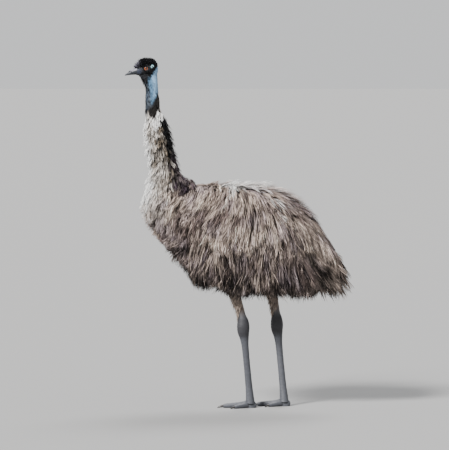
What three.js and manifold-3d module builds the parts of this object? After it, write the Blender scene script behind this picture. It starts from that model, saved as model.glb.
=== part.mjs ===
// A standing emu, life size, with one named solid for each part that a person would name.
// Units are millimetres. The bird faces -X, its left side is -Y and up is +Z.
// The origin is on the floor, under the middle of the model.
import * as THREE from "three";
import { mergeVertices } from "three/addons/utils/BufferGeometryUtils.js";
import Module from "manifold-3d";

const wasm = await Module();
wasm.setup();

// Clearance that neighbouring nodes keep.
const GAP = 0.3;

// Stations of the trunk and neck, from the top of the neck (0) to the end of the rump.
// x and z place the middle of a section, wide and deep are its half sizes without the locks,
// coat is how far the tips of the locks stand off, and hem is how far they hang below the belly.
const SPINE = [
  { x: -464, z: 1642, wide: 27, deep: 46, coat: 2, hem: 0 },
  { x: -447, z: 1580, wide: 27, deep: 31, coat: 3, hem: 0 },
  { x: -445, z: 1509, wide: 28, deep: 33, coat: 4, hem: 0 },
  { x: -443, z: 1460, wide: 30, deep: 35, coat: 10, hem: 0 },
  { x: -431, z: 1411, wide: 37, deep: 43, coat: 25, hem: 0 },
  { x: -422, z: 1362, wide: 41, deep: 49, coat: 25, hem: 0 },
  { x: -414, z: 1313, wide: 44, deep: 52, coat: 25, hem: 0 },
  { x: -403, z: 1264, wide: 47, deep: 54, coat: 25, hem: 0 },
  { x: -387, z: 1191, wide: 55, deep: 60, coat: 28, hem: 0 },
  { x: -376, z: 1135, wide: 70, deep: 73, coat: 30, hem: 0 },
  { x: -363, z: 1080, wide: 94, deep: 110, coat: 36, hem: 0 },
  { x: -336, z: 1020, wide: 124, deep: 150, coat: 40, hem: 14 },
  { x: -277, z: 962, wide: 152, deep: 168, coat: 42, hem: 60 },
  { x: -195, z: 918, wide: 176, deep: 186, coat: 44, hem: 116 },
  { x: -95, z: 892, wide: 190, deep: 193, coat: 45, hem: 107 },
  { x: 20, z: 886, wide: 195, deep: 197, coat: 45, hem: 126 },
  { x: 140, z: 871, wide: 189, deep: 182, coat: 44, hem: 126 },
  { x: 250, z: 838, wide: 168, deep: 141, coat: 41, hem: 141 },
  { x: 340, z: 791, wide: 128, deep: 91, coat: 39, hem: 150 },
  { x: 405, z: 750, wide: 84, deep: 53, coat: 38, hem: 128 },
  { x: 448, z: 716, wide: 42, deep: 26, coat: 38, hem: 140 },
];
// Where the spine is parted into nodes, counted in stations.
const NECK_PART = 3.2;
const BREAST_PART = 9.2;
const TORSO_PART = 12.0;
const TAIL_PART = 17.2;
const SPINE_END = SPINE.length - 1;
// The core of each feathered node: its two ends, its sides and its rows.
const NECK_CORE = [NECK_PART, BREAST_PART, 12, 10];
const BREAST_CORE = [BREAST_PART, TORSO_PART, 16, 6];
const TORSO_CORE = [TORSO_PART, TAIL_PART, 20, 11];
const TAIL_CORE = [TAIL_PART, SPINE_END, 16, 7];

// A lock's outline: the way along it, and the share of its full width and thickness there.
// Short locks have fewer rings than the long ones, which bend more.
const LONG_LOCK = [
  { way: 0, wide: 0.5, thick: 1 },
  { way: 0.25, wide: 0.92, thick: 1 },
  { way: 0.55, wide: 1, thick: 0.8 },
  { way: 0.82, wide: 0.62, thick: 0.6 },
];
const SHORT_LOCK = [
  { way: 0, wide: 0.62, thick: 1 },
  { way: 0.38, wide: 1, thick: 1 },
  { way: 0.74, wide: 0.78, thick: 0.7 },
];
const SHORT_LOCK_LENGTH = 160;
// How deep a lock's root is sunk, the step of its path, and the room it keeps from other nodes.
const LOCK_SINK = 16;
// How much deeper than that the path of a lock starts.
const ROOT_DEPTH = LOCK_SINK * 1.4;
const LOCK_STEP = 10;
const LOCK_ROOM = 0.35;
// A lock's thickness at its ridge for each unit of its width, and the least that it may be.
const LOCK_THICK = 0.14;
const LOCK_LEAST_THICK = 5;
// The flat three-sided section of a lock, as shares of its half width and half thickness.
const LOCK_SECTION = [
  [1, -0.6],
  [0, 1],
  [-1, -0.6],
];
// How quickly a lock rises from its root, as powers of its way.
const LOCK_RISE = 0.8;
const LOCK_SURFACING = 4;
// The share of its length over which the heading of a lock is taken.
const LOCK_NUDGE = 0.04;
// How the lie of the coat leans back for each unit that it falls, by the place along the bird.
const LIE = [
  [-380, 0],
  [-250, -0.16],
  [-80, -0.1],
  [100, 0.16],
  [250, 0.5],
  [380, 0.9],
];
// The coat parts along the back, from where it lies outwards and back.
const PARTING_OUT = 0.55;
const PARTING_BACK = 0.6;
// Where the surface turns under as steeply as this, locks hang free: on the neck and breast, and
// on the trunk, where the hem is at least FULL_HEM long.
const STEEP_BREAST = 0.9;
const STEEP_TRUNK = 0.35;
const FULL_HEM = 100;
const RUMP_TURN = 0.3;
// A hanging lock turns this share of the way to its hang at each step, drawn in under the bird.
const HANG_SHARE = 0.3;
const HANG_LEAN = 0.12;
const HANG_INWARDS = 0.12;
// What is tried for a lock that would cross another node: how far it bends out and reaches.
const LOCK_TRIES = [
  [1, 1],
  [1.35, 1],
  [1.7, 1],
  [1, 0.72],
  [1.5, 0.72],
  [1, 0.5],
];
// Tiers of locks on each node, from the hindmost node forwards. A tier runs from one station to
// another at one angle from the line of the back. A ring goes round at one station.
const TAIL_TIERS = [
  { from: 17.4, to: 19.3, angle: 9, count: 3, long: 240, wide: 66 },
  { from: 17.7, to: 19.5, angle: 42, count: 3, long: 250, wide: 70 },
  { from: 17.4, to: 19.2, angle: 76, count: 3, long: 300, wide: 72, hem: true },
  { from: 17.6, to: 19.2, angle: 116, count: 3, long: 260, wide: 74, hem: true },
];
const TORSO_TIERS = [
  { from: 12.3, to: 15.7, angle: 7, count: 7, long: 235, wide: 76, lift: 1.25 },
  { from: 12.6, to: 16.2, angle: 36, count: 6, long: 255, wide: 84 },
  { from: 12.3, to: 16.4, angle: 62, count: 6, long: 265, wide: 86 },
  { from: 12.5, to: 16.8, angle: 88, count: 7, long: 330, wide: 86, hem: true },
  { from: 13.3, to: 16.7, angle: 126, count: 6, long: 270, wide: 78, hem: true },
  { from: 12.2, to: 13.3, angle: 150, count: 3, long: 210, wide: 74, hem: true },
];
const BREAST_RINGS = [
  { at: 9.45, count: 4, long: 140, wide: 56 },
  { at: 10.15, count: 5, long: 155, wide: 62 },
  { at: 10.85, count: 5, long: 180, wide: 74 },
  { at: 11.4, count: 5, long: 170, wide: 80 },
];
const NECK_RINGS = [3.6, 4.5, 5.5, 6.5, 7.5, 8.4].map((at) => ({ at, count: 3, long: 105, wide: 42 }));
// The small wing lies along the flank: places on the trunk's surface and half sizes.
const WING = [
  { station: 12.6, angle: 66, wide: 10, deep: 26 },
  { station: 13, angle: 78, wide: 10, deep: 24 },
  { station: 13.5, angle: 90, wide: 8, deep: 17 },
  { station: 13.9, angle: 98, wide: 4, deep: 7 },
];
const WING_TIERS = [{ from: 12.75, to: 13.4, angle: 80, count: 3, long: 170, wide: 52 }];
// Rows of bristling tufts on the crown and nape: place along the head, tufts and their length.
// They spread over CROWN_SPREAD degrees across the head.
const CROWN_ROWS = [
  { way: 0.16, count: 2, long: 19 },
  { way: 0.32, count: 3, long: 24 },
  { way: 0.48, count: 3, long: 22 },
  { way: 0.64, count: 3, long: 22 },
  { way: 0.8, count: 3, long: 24 },
];
const CROWN_SPREAD = 110;
const TUFT_WIDTH = 13;
const TUFT_THICKNESS = 5;
// The bend of a crown tuft: how far out, and how far back against its lean, as shares of its length.
const TUFT_BEND = [
  [-0.25, 0],
  [0.3, 0],
  [0.7, 0.5],
  [0.85, 1.4],
];

// Head stations from the bill's root back to the nape.
const HEAD = [
  { x: -526, y: 0, z: 1650, wide: 15, deep: 17 },
  { x: -508, y: 0, z: 1657, wide: 22, deep: 28 },
  { x: -492, y: 0, z: 1662, wide: 28, deep: 37 },
  { x: -472, y: 0, z: 1664, wide: 32, deep: 42 },
  { x: -450, y: 0, z: 1664, wide: 33, deep: 43 },
  { x: -432, y: 0, z: 1663, wide: 28, deep: 37 },
  { x: -418, y: 0, z: 1659, wide: 14, deep: 22 },
];
const EYE = { x: -474, y: 22, z: 1666, radius: 13 };
// The lids' raised rim: how far its middle lies inside the eye's radius and outside its middle.
const LID = { inside: 1.5, outside: 6.5, thick: 2.6, long: 1.1, tall: 0.92 };
const EAR = { x: -443, y: 29, z: 1675, long: 7, thick: 6, tall: 9 };

// Bill stations from its root to its tip, and the line where it opens.
const BILL = [
  { x: -510, y: 0, z: 1655, wide: 19, deep: 21 },
  { x: -530, y: 0, z: 1650, wide: 16, deep: 16.5 },
  { x: -545, y: 0, z: 1645, wide: 13.5, deep: 12 },
  { x: -559, y: 0, z: 1639.5, wide: 10, deep: 7.8 },
  { x: -571, y: 0, z: 1635, wide: 6, deep: 4.6 },
  { x: -578, y: 0, z: 1631.5, wide: 2.4, deep: 2.2 },
];
const BILL_ROOT_X = -518;
const MOUTH = [
  [-492, 1637],
  [-519, 1640.5],
  [-535, 1641],
  [-550, 1638.5],
  [-562, 1634.2],
  [-572, 1631],
  [-590, 1626],
];
const NOSTRIL = { x: -546, y: 13, z: 1648, long: 6.5, deep: 4.5, tall: 2.6 };

// Each leg: which side, where its hock and foot joint stand, fore and aft and from the middle,
// and how far its shank slopes.
const LEGS = {
  left: { side: -1, hockX: 1, footX: 36, hockY: 62, footY: 28, slope: 1.4 },
  right: { side: 1, hockX: 167, footX: 203, hockY: 76, footY: 48, slope: 0.88 },
};
const SHANK_END_Z = 462;
// The feathered shank, from inside the trunk to the hock: height, set back from the hock, sizes.
const SHANK = [
  { z: 775, back: -100, out: 20, wide: 50, deep: 70 },
  { z: 700, back: -72, out: 16, wide: 47, deep: 60 },
  { z: 630, back: -49, out: 10, wide: 38, deep: 45 },
  { z: 568, back: -31, out: 4, wide: 30, deep: 31 },
  { z: 510, back: -17, out: 1, wide: 25, deep: 28 },
  { z: 450, back: -5, out: 0, wide: 21, deep: 24.5 },
];
// The bare tarsus, from above the hock to the foot: height, share of the way to the foot, sizes.
const TARSUS = [
  { z: 470, way: -0.16, wide: 22, deep: 25.5 },
  { z: 435, way: -0.05, wide: 24.5, deep: 29 },
  { z: 402, way: 0, wide: 26.5, deep: 31 },
  { z: 372, way: 0.02, wide: 23.5, deep: 29 },
  { z: 342, way: 0.15, wide: 19, deep: 22 },
  { z: 300, way: 0.28, wide: 16, deep: 17.5 },
  { z: 200, way: 0.55, wide: 15, deep: 16.5 },
  { z: 110, way: 0.79, wide: 16, deep: 17.5 },
  { z: 60, way: 0.92, wide: 21, deep: 20 },
  { z: 24, way: 1, wide: 26, deep: 23 },
];
const TARSUS_PLATES = 12;
const TARSUS_PLATES_BELOW = 0.22;
const PLATE_HEIGHT = 1.5;
// The share of a plate over which it slopes back, and how squarely a face must look up to carry one.
const PLATE_SLOPE = 0.16;
const PLATE_FACING = 0.3;
// The three toes: splay outwards in degrees, length without the claw, and thickness scale.
const TOES = {
  inner: { splay: -32, length: 82, scale: 0.88, claw: 25 },
  middle: { splay: 2, length: 126, scale: 1, claw: 31 },
  outer: { splay: 34, length: 86, scale: 0.86, claw: 25 },
};
const TOE = [
  { way: 0, z: 19, wide: 14.5, deep: 20.5 },
  { way: 0.3, z: 14, wide: 13.5, deep: 15.5 },
  { way: 0.6, z: 11.5, wide: 12.5, deep: 13 },
  { way: 0.85, z: 10, wide: 11, deep: 11.5 },
  { way: 1, z: 8.5, wide: 8.5, deep: 9 },
];
const TOE_PLATES = 4;
const CLAW = [
  { way: 0, z: 9, wide: 6, deep: 6.2 },
  { way: 0.45, z: 8.2, wide: 5, deep: 5.4 },
  { way: 0.8, z: 4, wide: 3.4, deep: 4.3 },
  { way: 1, z: 1, wide: 1.4, deep: 1.8 },
];

const UP = new THREE.Vector3(0, 0, 1);
const DOWN = new THREE.Vector3(0, 0, -1);
const FORWARD = new THREE.Vector3(-1, 0, 0);
const BACK = new THREE.Vector3(1, 0, 0);

// A repeatable draw between two numbers.
let seed = 7;
function draw(low, high) {
  seed = (seed * 1664525 + 1013904223) % 4294967296;
  return low + ((high - low) * seed) / 4294967296;
}

// A closed geometry as a solid, turned the right way out.
function solidOf(geometry) {
  const bare = geometry.clone();
  bare.deleteAttribute("normal");
  bare.deleteAttribute("uv");
  const merged = mergeVertices(bare, 1e-3);
  const triVerts = new Uint32Array(merged.index.array);
  const vertProperties = merged.attributes.position.array;
  const made = new wasm.Manifold(new wasm.Mesh({ numProp: 3, vertProperties, triVerts }));
  if (made.volume() > 0) return made;
  for (let i = 0; i < triVerts.length; i += 3)
    [triVerts[i + 1], triVerts[i + 2]] = [triVerts[i + 2], triVerts[i + 1]];
  return new wasm.Manifold(new wasm.Mesh({ numProp: 3, vertProperties, triVerts }));
}

// The largest closed body of a solid: scraps of a cut fall away and sealed hollows fill.
function largestBody(solid) {
  return solid.decompose().reduce((a, b) => (a.volume() > b.volume() ? a : b));
}

// A named mesh from a solid.
function nodeOf(name, solid, material) {
  const data = largestBody(solid).getMesh();
  const positions = new Float32Array(data.numVert * 3);
  for (let i = 0; i < data.numVert; i++) {
    const at = i * data.numProp;
    positions.set(data.vertProperties.subarray(at, at + 3), i * 3);
  }
  const geometry = new THREE.BufferGeometry();
  geometry.setAttribute("position", new THREE.BufferAttribute(positions, 3));
  geometry.setIndex(new THREE.BufferAttribute(data.triVerts, 1));
  geometry.computeVertexNormals();
  const mesh = new THREE.Mesh(geometry, material);
  mesh.name = name;
  return mesh;
}

// A closed tube with flat ends: ring(row) gives the section of each row.
// A section has a middle, its side and up directions and half sizes wide and deep. It may have
// swell(cosine), which pushes its rim outwards.
function tube(ring, sides, rows) {
  const geometry = new THREE.CylinderGeometry(1, 1, 1, sides, rows);
  const place = geometry.attributes.position;
  const rings = Array.from({ length: rows + 1 }, (_, row) => ring(row));
  for (let i = 0; i < place.count; i++) {
    const s = rings[Math.round((0.5 - place.getY(i)) * rows)];
    const sine = place.getX(i);
    const cosine = place.getZ(i);
    const swell = s.swell ? s.swell(cosine) : 0;
    const point = s.middle
      .clone()
      .addScaledVector(s.side, sine * (s.wide + swell))
      .addScaledVector(s.up, cosine * (s.deep + swell));
    place.setXYZ(i, point.x, point.y, point.z);
  }
  return solidOf(geometry);
}

const spineMiddles = new THREE.CatmullRomCurve3(SPINE.map((s) => new THREE.Vector3(s.x, 0, s.z)));
const spineSizes = new THREE.CatmullRomCurve3(
  SPINE.map((s) => new THREE.Vector3(s.wide, s.deep, s.coat)),
);
const spineHems = new THREE.CatmullRomCurve3(SPINE.map((s) => new THREE.Vector3(s.hem, 0, s.z)));

// The section of the trunk at a place counted in stations, grown all round by grow.
function sectionAt(station, grow = 0) {
  const t = THREE.MathUtils.clamp(station / SPINE_END, 0, 1);
  const along = spineMiddles.getTangent(t);
  const size = spineSizes.getPoint(t);
  return {
    middle: spineMiddles.getPoint(t),
    along,
    up: new THREE.Vector3(-along.z, 0, along.x),
    side: new THREE.Vector3(0, -1, 0),
    wide: size.x + grow,
    deep: size.y + grow,
    coat: size.z,
    hem: spineHems.getPoint(t).x,
  };
}

// A point of the trunk's surface, at an angle from the line of the back, with its outward normal.
function surfaceAt(station, angle) {
  const nudge = 0.02;
  const pointAt = (u, a) => {
    const s = sectionAt(u);
    return s.middle
      .clone()
      .addScaledVector(s.side, Math.sin(a) * s.wide)
      .addScaledVector(s.up, Math.cos(a) * s.deep);
  };
  const point = pointAt(station, angle);
  const alongStep = pointAt(station + nudge, angle).sub(point).divideScalar(nudge);
  const roundStep = pointAt(station, angle + nudge).sub(point).divideScalar(nudge);
  const normal = new THREE.Vector3().crossVectors(alongStep, roundStep).normalize();
  if (normal.dot(point.clone().sub(sectionAt(station).middle)) < 0) normal.negate();
  return { point, normal, alongStep, roundStep };
}

// A stretch of the trunk from one station to another. Its flat ends keep half a gap, and
// a grown stretch reaches past them by as much as it grows.
function trunk(from, to, sides, rows, grow = 0) {
  return tube(
    (row) => {
      const s = sectionAt(from + ((to - from) * row) / rows, grow);
      const inset = GAP / 2 - grow;
      if (row === 0) s.middle.addScaledVector(s.along, inset);
      if (row === rows) s.middle.addScaledVector(s.along, -inset);
      return s;
    },
    sides,
    rows,
  );
}

// A tube through stations with x, y, z and half sizes wide and deep, smoothed between them.
// up is where its deep side faces. With plates, the far end of each plate stands proud there.
function limb(stations, sides, rows, up, { grow = 0, plates = 0, platesFrom = 0 } = {}) {
  const middles = new THREE.CatmullRomCurve3(stations.map((s) => new THREE.Vector3(s.x, s.y, s.z)));
  const sizes = new THREE.CatmullRomCurve3(stations.map((s) => new THREE.Vector3(s.wide, s.deep, 0)));
  const allRows = rows + plates * 2;
  return tube(
    (row) => {
      const plate = row - rows;
      const inPlate = Math.ceil(plate / 2) - (plate % 2 ? PLATE_SLOPE : 0);
      const inPlates = platesFrom + ((1 - platesFrom) * inPlate) / plates;
      const f = plate > 0 ? inPlates : (row / rows) * (plates ? platesFrom : 1);
      const along = middles.getTangent(f);
      const across = new THREE.Vector3().crossVectors(along, up).normalize();
      const size = sizes.getPoint(f);
      const proud = plate > 0 && plate % 2 ? PLATE_HEIGHT : 0;
      return {
        middle: middles.getPoint(f),
        side: across,
        up: new THREE.Vector3().crossVectors(across, along).normalize(),
        wide: size.x + grow,
        deep: size.y + grow,
        swell: proud ? (cosine) => (cosine > PLATE_FACING ? proud : 0) : null,
      };
    },
    sides,
    allRows,
  );
}

// How far the lie of the coat leans back at a place along the bird.
function leanAt(x) {
  const next = LIE.findIndex(([at]) => at > x);
  if (next === 0) return LIE[0][1];
  if (next < 0) return LIE.at(-1)[1];
  const [before, after] = [LIE[next - 1], LIE[next]];
  return THREE.MathUtils.mapLinear(x, before[0], after[0], before[1], after[1]);
}

// The path of a lock over the trunk from its root: it follows the lie of the coat, and where
// the belly turns under, or the rump ends, it hangs free. hem ends it at the hem's height.
function lieOf(station, angle, long, hem) {
  const path = [];
  const out = new THREE.Vector3(0, -Math.sign(angle), 0);
  let u = station;
  let a = angle;
  let free = null;
  for (let gone = 0; gone <= long; gone += LOCK_STEP) {
    const { point, normal, alongStep, roundStep } = surfaceAt(u, a);
    const section = sectionAt(u);
    const turnsUnder = THREE.MathUtils.lerp(STEEP_BREAST, STEEP_TRUNK, Math.min(1, section.hem / FULL_HEM));
    if (!free && (normal.z < -turnsUnder || u > SPINE_END - RUMP_TURN)) {
      const start = path.length ? path.at(-1).point : point.clone().addScaledVector(normal, -ROOT_DEPTH);
      free = { at: start.clone(), normal, from: gone, low: section.middle.z - section.deep - section.hem };
      free.heading = path.length > 1 ? start.clone().sub(path.at(-2).point).normalize() : DOWN.clone();
    }
    if (free) {
      const hang = DOWN.clone().addScaledVector(BACK, leanAt(free.at.x) * HANG_LEAN);
      hang.addScaledVector(out, -HANG_INWARDS);
      free.heading.lerp(hang.normalize(), HANG_SHARE).normalize();
      free.normal.addScaledVector(free.heading, -free.normal.dot(free.heading)).normalize();
      path.push({ point: free.at.clone(), normal: free.normal.clone() });
      free.at.addScaledVector(free.heading, LOCK_STEP);
      if (hem && free.at.z < free.low) break;
      continue;
    }
    path.push({ point, normal });
    const dorsal = Math.max(0, Math.cos(a));
    const heading = DOWN.clone()
      .addScaledVector(BACK, leanAt(point.x) + PARTING_BACK * dorsal * dorsal)
      .addScaledVector(out, PARTING_OUT * dorsal);
    heading.addScaledVector(normal, -heading.dot(normal)).setLength(LOCK_STEP);
    const [uu, ua, aa] = [alongStep.lengthSq(), alongStep.dot(roundStep), roundStep.lengthSq()];
    const [hu, ha] = [heading.dot(alongStep), heading.dot(roundStep)];
    u += (hu * aa - ha * ua) / (uu * aa - ua * ua);
    a += (ha * uu - hu * ua) / (uu * aa - ua * ua);
  }
  path.startsFree = free !== null && free.from === 0;
  return path;
}

// A flat tapered lock along a path, with a ridge between its two edges and a point at its end.
// stand is how far its tip stands off the path, and sink how deep its root goes.
function lockAlong(path, { wide, thick, stand, sink, grow = 0 }) {
  const last = path.length - 1;
  const rings = last * LOCK_STEP < SHORT_LOCK_LENGTH ? SHORT_LOCK : LONG_LOCK;
  const centreAt = (way) => {
    const place = THREE.MathUtils.clamp(way, 0, 1) * last;
    const i = Math.min(Math.floor(place), last - 1);
    const normal = path[i].normal.clone().lerp(path[i + 1].normal, place - i).normalize();
    const point = path[i].point.clone().lerp(path[i + 1].point, place - i);
    point.addScaledVector(normal, stand * way ** LOCK_RISE - sink * (1 - way) ** LOCK_SURFACING);
    return { point, normal };
  };
  const positions = [];
  for (const ring of rings) {
    const { point, normal } = centreAt(ring.way);
    const ahead = centreAt(ring.way + LOCK_NUDGE).point;
    const behind = centreAt(Math.max(0, ring.way - LOCK_NUDGE)).point;
    const along = ahead.sub(behind).normalize();
    const ridge = normal.addScaledVector(along, -normal.dot(along)).normalize();
    const edge = new THREE.Vector3().crossVectors(along, ridge);
    const halfWide = (wide / 2) * ring.wide + grow;
    const high = (thick / 2) * ring.thick + grow;
    const start = ring.way === 0 ? point.clone().addScaledVector(along, -grow) : point;
    for (const [across, proud] of LOCK_SECTION) {
      const corner = start.clone().addScaledVector(edge, across * halfWide);
      positions.push(corner.addScaledVector(ridge, proud * high));
    }
  }
  const tip = centreAt(1).point;
  const onward = tip.clone().sub(centreAt(0.9).point).normalize();
  positions.push(tip.addScaledVector(onward, grow * 4));
  const index = [0, 2, 1];
  for (let ring = 0; ring < rings.length; ring++)
    for (let side = 0; side < 3; side++) {
      const here = ring * 3 + side;
      const next = ring * 3 + ((side + 1) % 3);
      if (ring === rings.length - 1) index.push(here, next, positions.length - 1);
      else index.push(here, next, here + 3, next, next + 3, here + 3);
    }
  const geometry = new THREE.BufferGeometry().setFromPoints(positions);
  geometry.setIndex(index);
  return solidOf(geometry);
}

// A box between two corners.
function block(low, high) {
  const geometry = new THREE.BoxGeometry(high[0] - low[0], high[1] - low[1], high[2] - low[2]);
  geometry.translate((high[0] + low[0]) / 2, (high[1] + low[1]) / 2, (high[2] + low[2]) / 2);
  return solidOf(geometry);
}

// A slab across the bird with an outline in the XZ plane.
function slab(outline, halfWidth) {
  const shape = new THREE.Shape(outline.map(([x, z]) => new THREE.Vector2(x, z)));
  const geometry = new THREE.ExtrudeGeometry(shape, { depth: 2 * halfWidth, bevelEnabled: false });
  geometry.rotateX(Math.PI / 2);
  geometry.translate(0, halfWidth, 0);
  return solidOf(geometry);
}

// A ball stretched to three half sizes.
function ball(x, y, z, rx, ry, rz, around = 10, down = 7) {
  const geometry = new THREE.SphereGeometry(1, around, down);
  geometry.scale(rx, ry, rz);
  geometry.translate(x, y, z);
  return solidOf(geometry);
}

const belowFloor = block([-900, -400, -60], [900, 400, 0]);

const materials = {
  plumage: new THREE.MeshStandardMaterial({ color: 0x7d6f66, roughness: 0.95, metalness: 0 }),
  ruff: new THREE.MeshStandardMaterial({ color: 0xb7aea4, roughness: 0.95, metalness: 0 }),
  crown: new THREE.MeshStandardMaterial({ color: 0x1b191c, roughness: 0.9, metalness: 0 }),
  skin: new THREE.MeshStandardMaterial({ color: 0x5a81a5, roughness: 0.7, metalness: 0 }),
  bill: new THREE.MeshStandardMaterial({ color: 0x3a3c42, roughness: 0.45, metalness: 0 }),
  eye: new THREE.MeshStandardMaterial({ color: 0xb5541e, roughness: 0.08, metalness: 0 }),
  leg: new THREE.MeshStandardMaterial({ color: 0x5e5b5c, roughness: 0.75, metalness: 0 }),
  claw: new THREE.MeshStandardMaterial({ color: 0x1f1d1d, roughness: 0.4, metalness: 0 }),
};

const group = new THREE.Group();
// Solids that the locks keep clear of.
const built = [];

// The part of the head behind the bill's root.
function skull(grow = 0) {
  const whole = limb(HEAD, 14, 10, UP, { grow });
  return whole.subtract(block([-700, -90, 1500], [BILL_ROOT_X + GAP / 2 - grow, 90, 1800]));
}

// Short black tufts that bristle up and back from the crown and nape.
function crownTufts() {
  const middles = new THREE.CatmullRomCurve3(HEAD.map((s) => new THREE.Vector3(s.x, 0, s.z)));
  const sizes = new THREE.CatmullRomCurve3(HEAD.map((s) => new THREE.Vector3(s.wide, s.deep, 0)));
  const tufts = [];
  for (const { way, count, long } of CROWN_ROWS)
    for (let i = 0; i < count; i++) {
      const f = way + draw(-0.02, 0.02);
      const a = THREE.MathUtils.degToRad(((i + 0.5) / count - 0.5) * CROWN_SPREAD + draw(-4, 4));
      const size = sizes.getPoint(f);
      const normal = new THREE.Vector3(0, Math.sin(a), Math.cos(a));
      const root = middles.getPoint(f).add(new THREE.Vector3(0, Math.sin(a) * size.x, Math.cos(a) * size.y));
      const lean = (way - 0.25) * draw(0.9, 1.4);
      const knots = TUFT_BEND.map(([out, back]) => {
        const raised = root.clone().addScaledVector(normal, out * long);
        return raised.addScaledVector(BACK, lean * back * long);
      });
      const bend = new THREE.CubicBezierCurve3(...knots);
      const path = bend.getPoints(6).map((point) => ({ point, normal: BACK.clone() }));
      tufts.push(lockAlong(path, { wide: TUFT_WIDTH, thick: TUFT_THICKNESS, stand: 0, sink: 0 }));
    }
  return tufts;
}

// Skull, cheeks and throat, with lids raised round the eyes and the corner of the mouth cut in.
function addHead() {
  let head = skull();
  for (const side of [-1, 1]) {
    const lid = new THREE.TorusGeometry(EYE.radius - LID.inside, LID.thick, 6, 14);
    lid.scale(LID.long, LID.tall, 1);
    lid.rotateX(Math.PI / 2);
    lid.translate(EYE.x, side * (EYE.y + LID.outside), EYE.z);
    head = head.add(solidOf(lid));
  }
  for (const tuft of crownTufts()) head = head.add(tuft);
  const corner = MOUTH.slice(0, 3);
  const lip = 0.5;
  const groove = [...corner.map(([x, z]) => [x, z + lip]), ...corner.map(([x, z]) => [x, z - lip]).reverse()];
  const cheeks = limb(HEAD, 14, 10, UP, { grow: -2.5 });
  head = head.subtract(slab(groove, 60).subtract(cheeks));
  for (const [name, side] of [["left", -1], ["right", 1]]) {
    const socket = EYE.radius + GAP;
    head = head.subtract(ball(EYE.x, side * EYE.y, EYE.z, socket, socket, socket));
    const { x, y, z, long, thick, tall } = EAR;
    head = head.subtract(ball(x, side * y, z, long + GAP, thick + GAP, tall + GAP, 9, 6));
    const eye = ball(EYE.x, side * EYE.y, EYE.z, EYE.radius, EYE.radius, EYE.radius);
    group.add(nodeOf("eye_" + name, eye, materials.eye));
    const cup = ball(x, side * y, z, long, thick, tall, 9, 6);
    const hollow = ball(x, side * (y + thick), z, long * 0.6, thick * 1.2, tall * 0.65, 7, 5);
    group.add(nodeOf("ear_" + name, cup.subtract(hollow), materials.skin));
  }
  group.add(nodeOf("head", head, materials.crown));
}

// Upper and lower bill, parted along the line of the mouth, with a nostril in each side.
function addBill() {
  const whole = limb(BILL, 12, 9, UP).subtract(block([BILL_ROOT_X - GAP / 2, -90, 1500], [-400, 90, 1800]));
  const reach = 60;
  const above = MOUTH.map(([x, z]) => [x, z + GAP / 2]);
  const under = MOUTH.map(([x, z]) => [x, z - GAP / 2]);
  const over = slab([...above, [MOUTH.at(-1)[0], 1700], [MOUTH[0][0], 1700]], reach);
  const beneath = slab([...under, [MOUTH.at(-1)[0], 1580], [MOUTH[0][0], 1580]], reach);
  const { x, y, z, long, deep, tall } = NOSTRIL;
  let upper = whole.intersect(over);
  for (const side of [-1, 1]) upper = upper.subtract(ball(x, side * y, z, long, deep, tall, 8, 5));
  group.add(nodeOf("bill_upper", upper, materials.bill));
  group.add(nodeOf("bill_lower", whole.intersect(beneath), materials.bill));
}

// The bare upper neck, up to the underside of the head.
function addUpperNeck() {
  const neck = trunk(0, NECK_PART, 14, 9).subtract(skull(GAP));
  group.add(nodeOf("neck_upper", neck, materials.skin));
  built.push(neck);
}

// Whether a solid keeps clear of every solid in a list.
function isClear(solid, others) {
  const box = solid.boundingBox();
  return others.every((other) => {
    const around = other.boundingBox();
    const apart = [0, 1, 2].some((k) => box.min[k] > around.max[k] || box.max[k] < around.min[k]);
    return apart || solid.intersect(other).isEmpty();
  });
}

// Grows one lock on a core. A lock that would cross another node is bent out or shortened
// until it keeps clear, and is left out where nothing fits.
function growLock(station, angle, { long, wide, hem = false, lift = 1, sink }, others) {
  const coat = sectionAt(station).coat;
  for (const [bend, reach] of LOCK_TRIES) {
    const path = lieOf(station, angle, long * reach, hem && reach === 1);
    const shape = {
      wide,
      thick: Math.max(LOCK_LEAST_THICK, wide * LOCK_THICK),
      stand: path.startsFree ? 0 : coat * lift * bend,
      sink: path.startsFree ? 0 : sink,
    };
    if (isClear(lockAlong(path, { ...shape, grow: LOCK_ROOM }), others)) return lockAlong(path, shape);
  }
  return null;
}

// A core with its tiers and rings of locks, alike in number on both sides of the bird.
function coated(core, tiers, rings, others, sink) {
  let made = core;
  const grow = (station, degrees, tier) => {
    const varied = { ...tier, long: tier.long * draw(0.9, 1.08), wide: tier.wide * draw(0.88, 1.12), sink };
    const angle = THREE.MathUtils.degToRad(degrees);
    const lock = growLock(station, angle, varied, others);
    if (lock) made = made.add(lock);
  };
  for (const tier of tiers)
    for (let i = 0; i < tier.count; i++)
      for (const side of [-1, 1]) {
        const place = (i + draw(-0.2, 0.2)) / (tier.count - 1);
        const station = tier.from + (tier.to - tier.from) * THREE.MathUtils.clamp(place, 0, 1);
        grow(station, side * (tier.angle + draw(-5, 5)), tier);
      }
  rings.forEach((ring, row) => {
    for (let i = 0; i < ring.count; i++)
      for (const side of [-1, 1]) {
        const round = (i + (row % 2 ? 0.3 : 0.7) + draw(-0.15, 0.15)) / ring.count;
        grow(ring.at + draw(-0.12, 0.12), side * round * 180, ring);
      }
  });
  return made;
}

// The core of a wing: a flattened limb that hugs the flank.
function wingCore(side) {
  const places = WING.map(({ station, angle, wide, deep }) => {
    const { point, normal } = surfaceAt(station, side * THREE.MathUtils.degToRad(angle));
    point.addScaledVector(normal, wide * 0.9);
    return { x: point.x, y: point.y, z: point.z, wide, deep };
  });
  return limb(places, 10, 6, UP).subtract(trunk(...TORSO_CORE, GAP));
}

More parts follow.
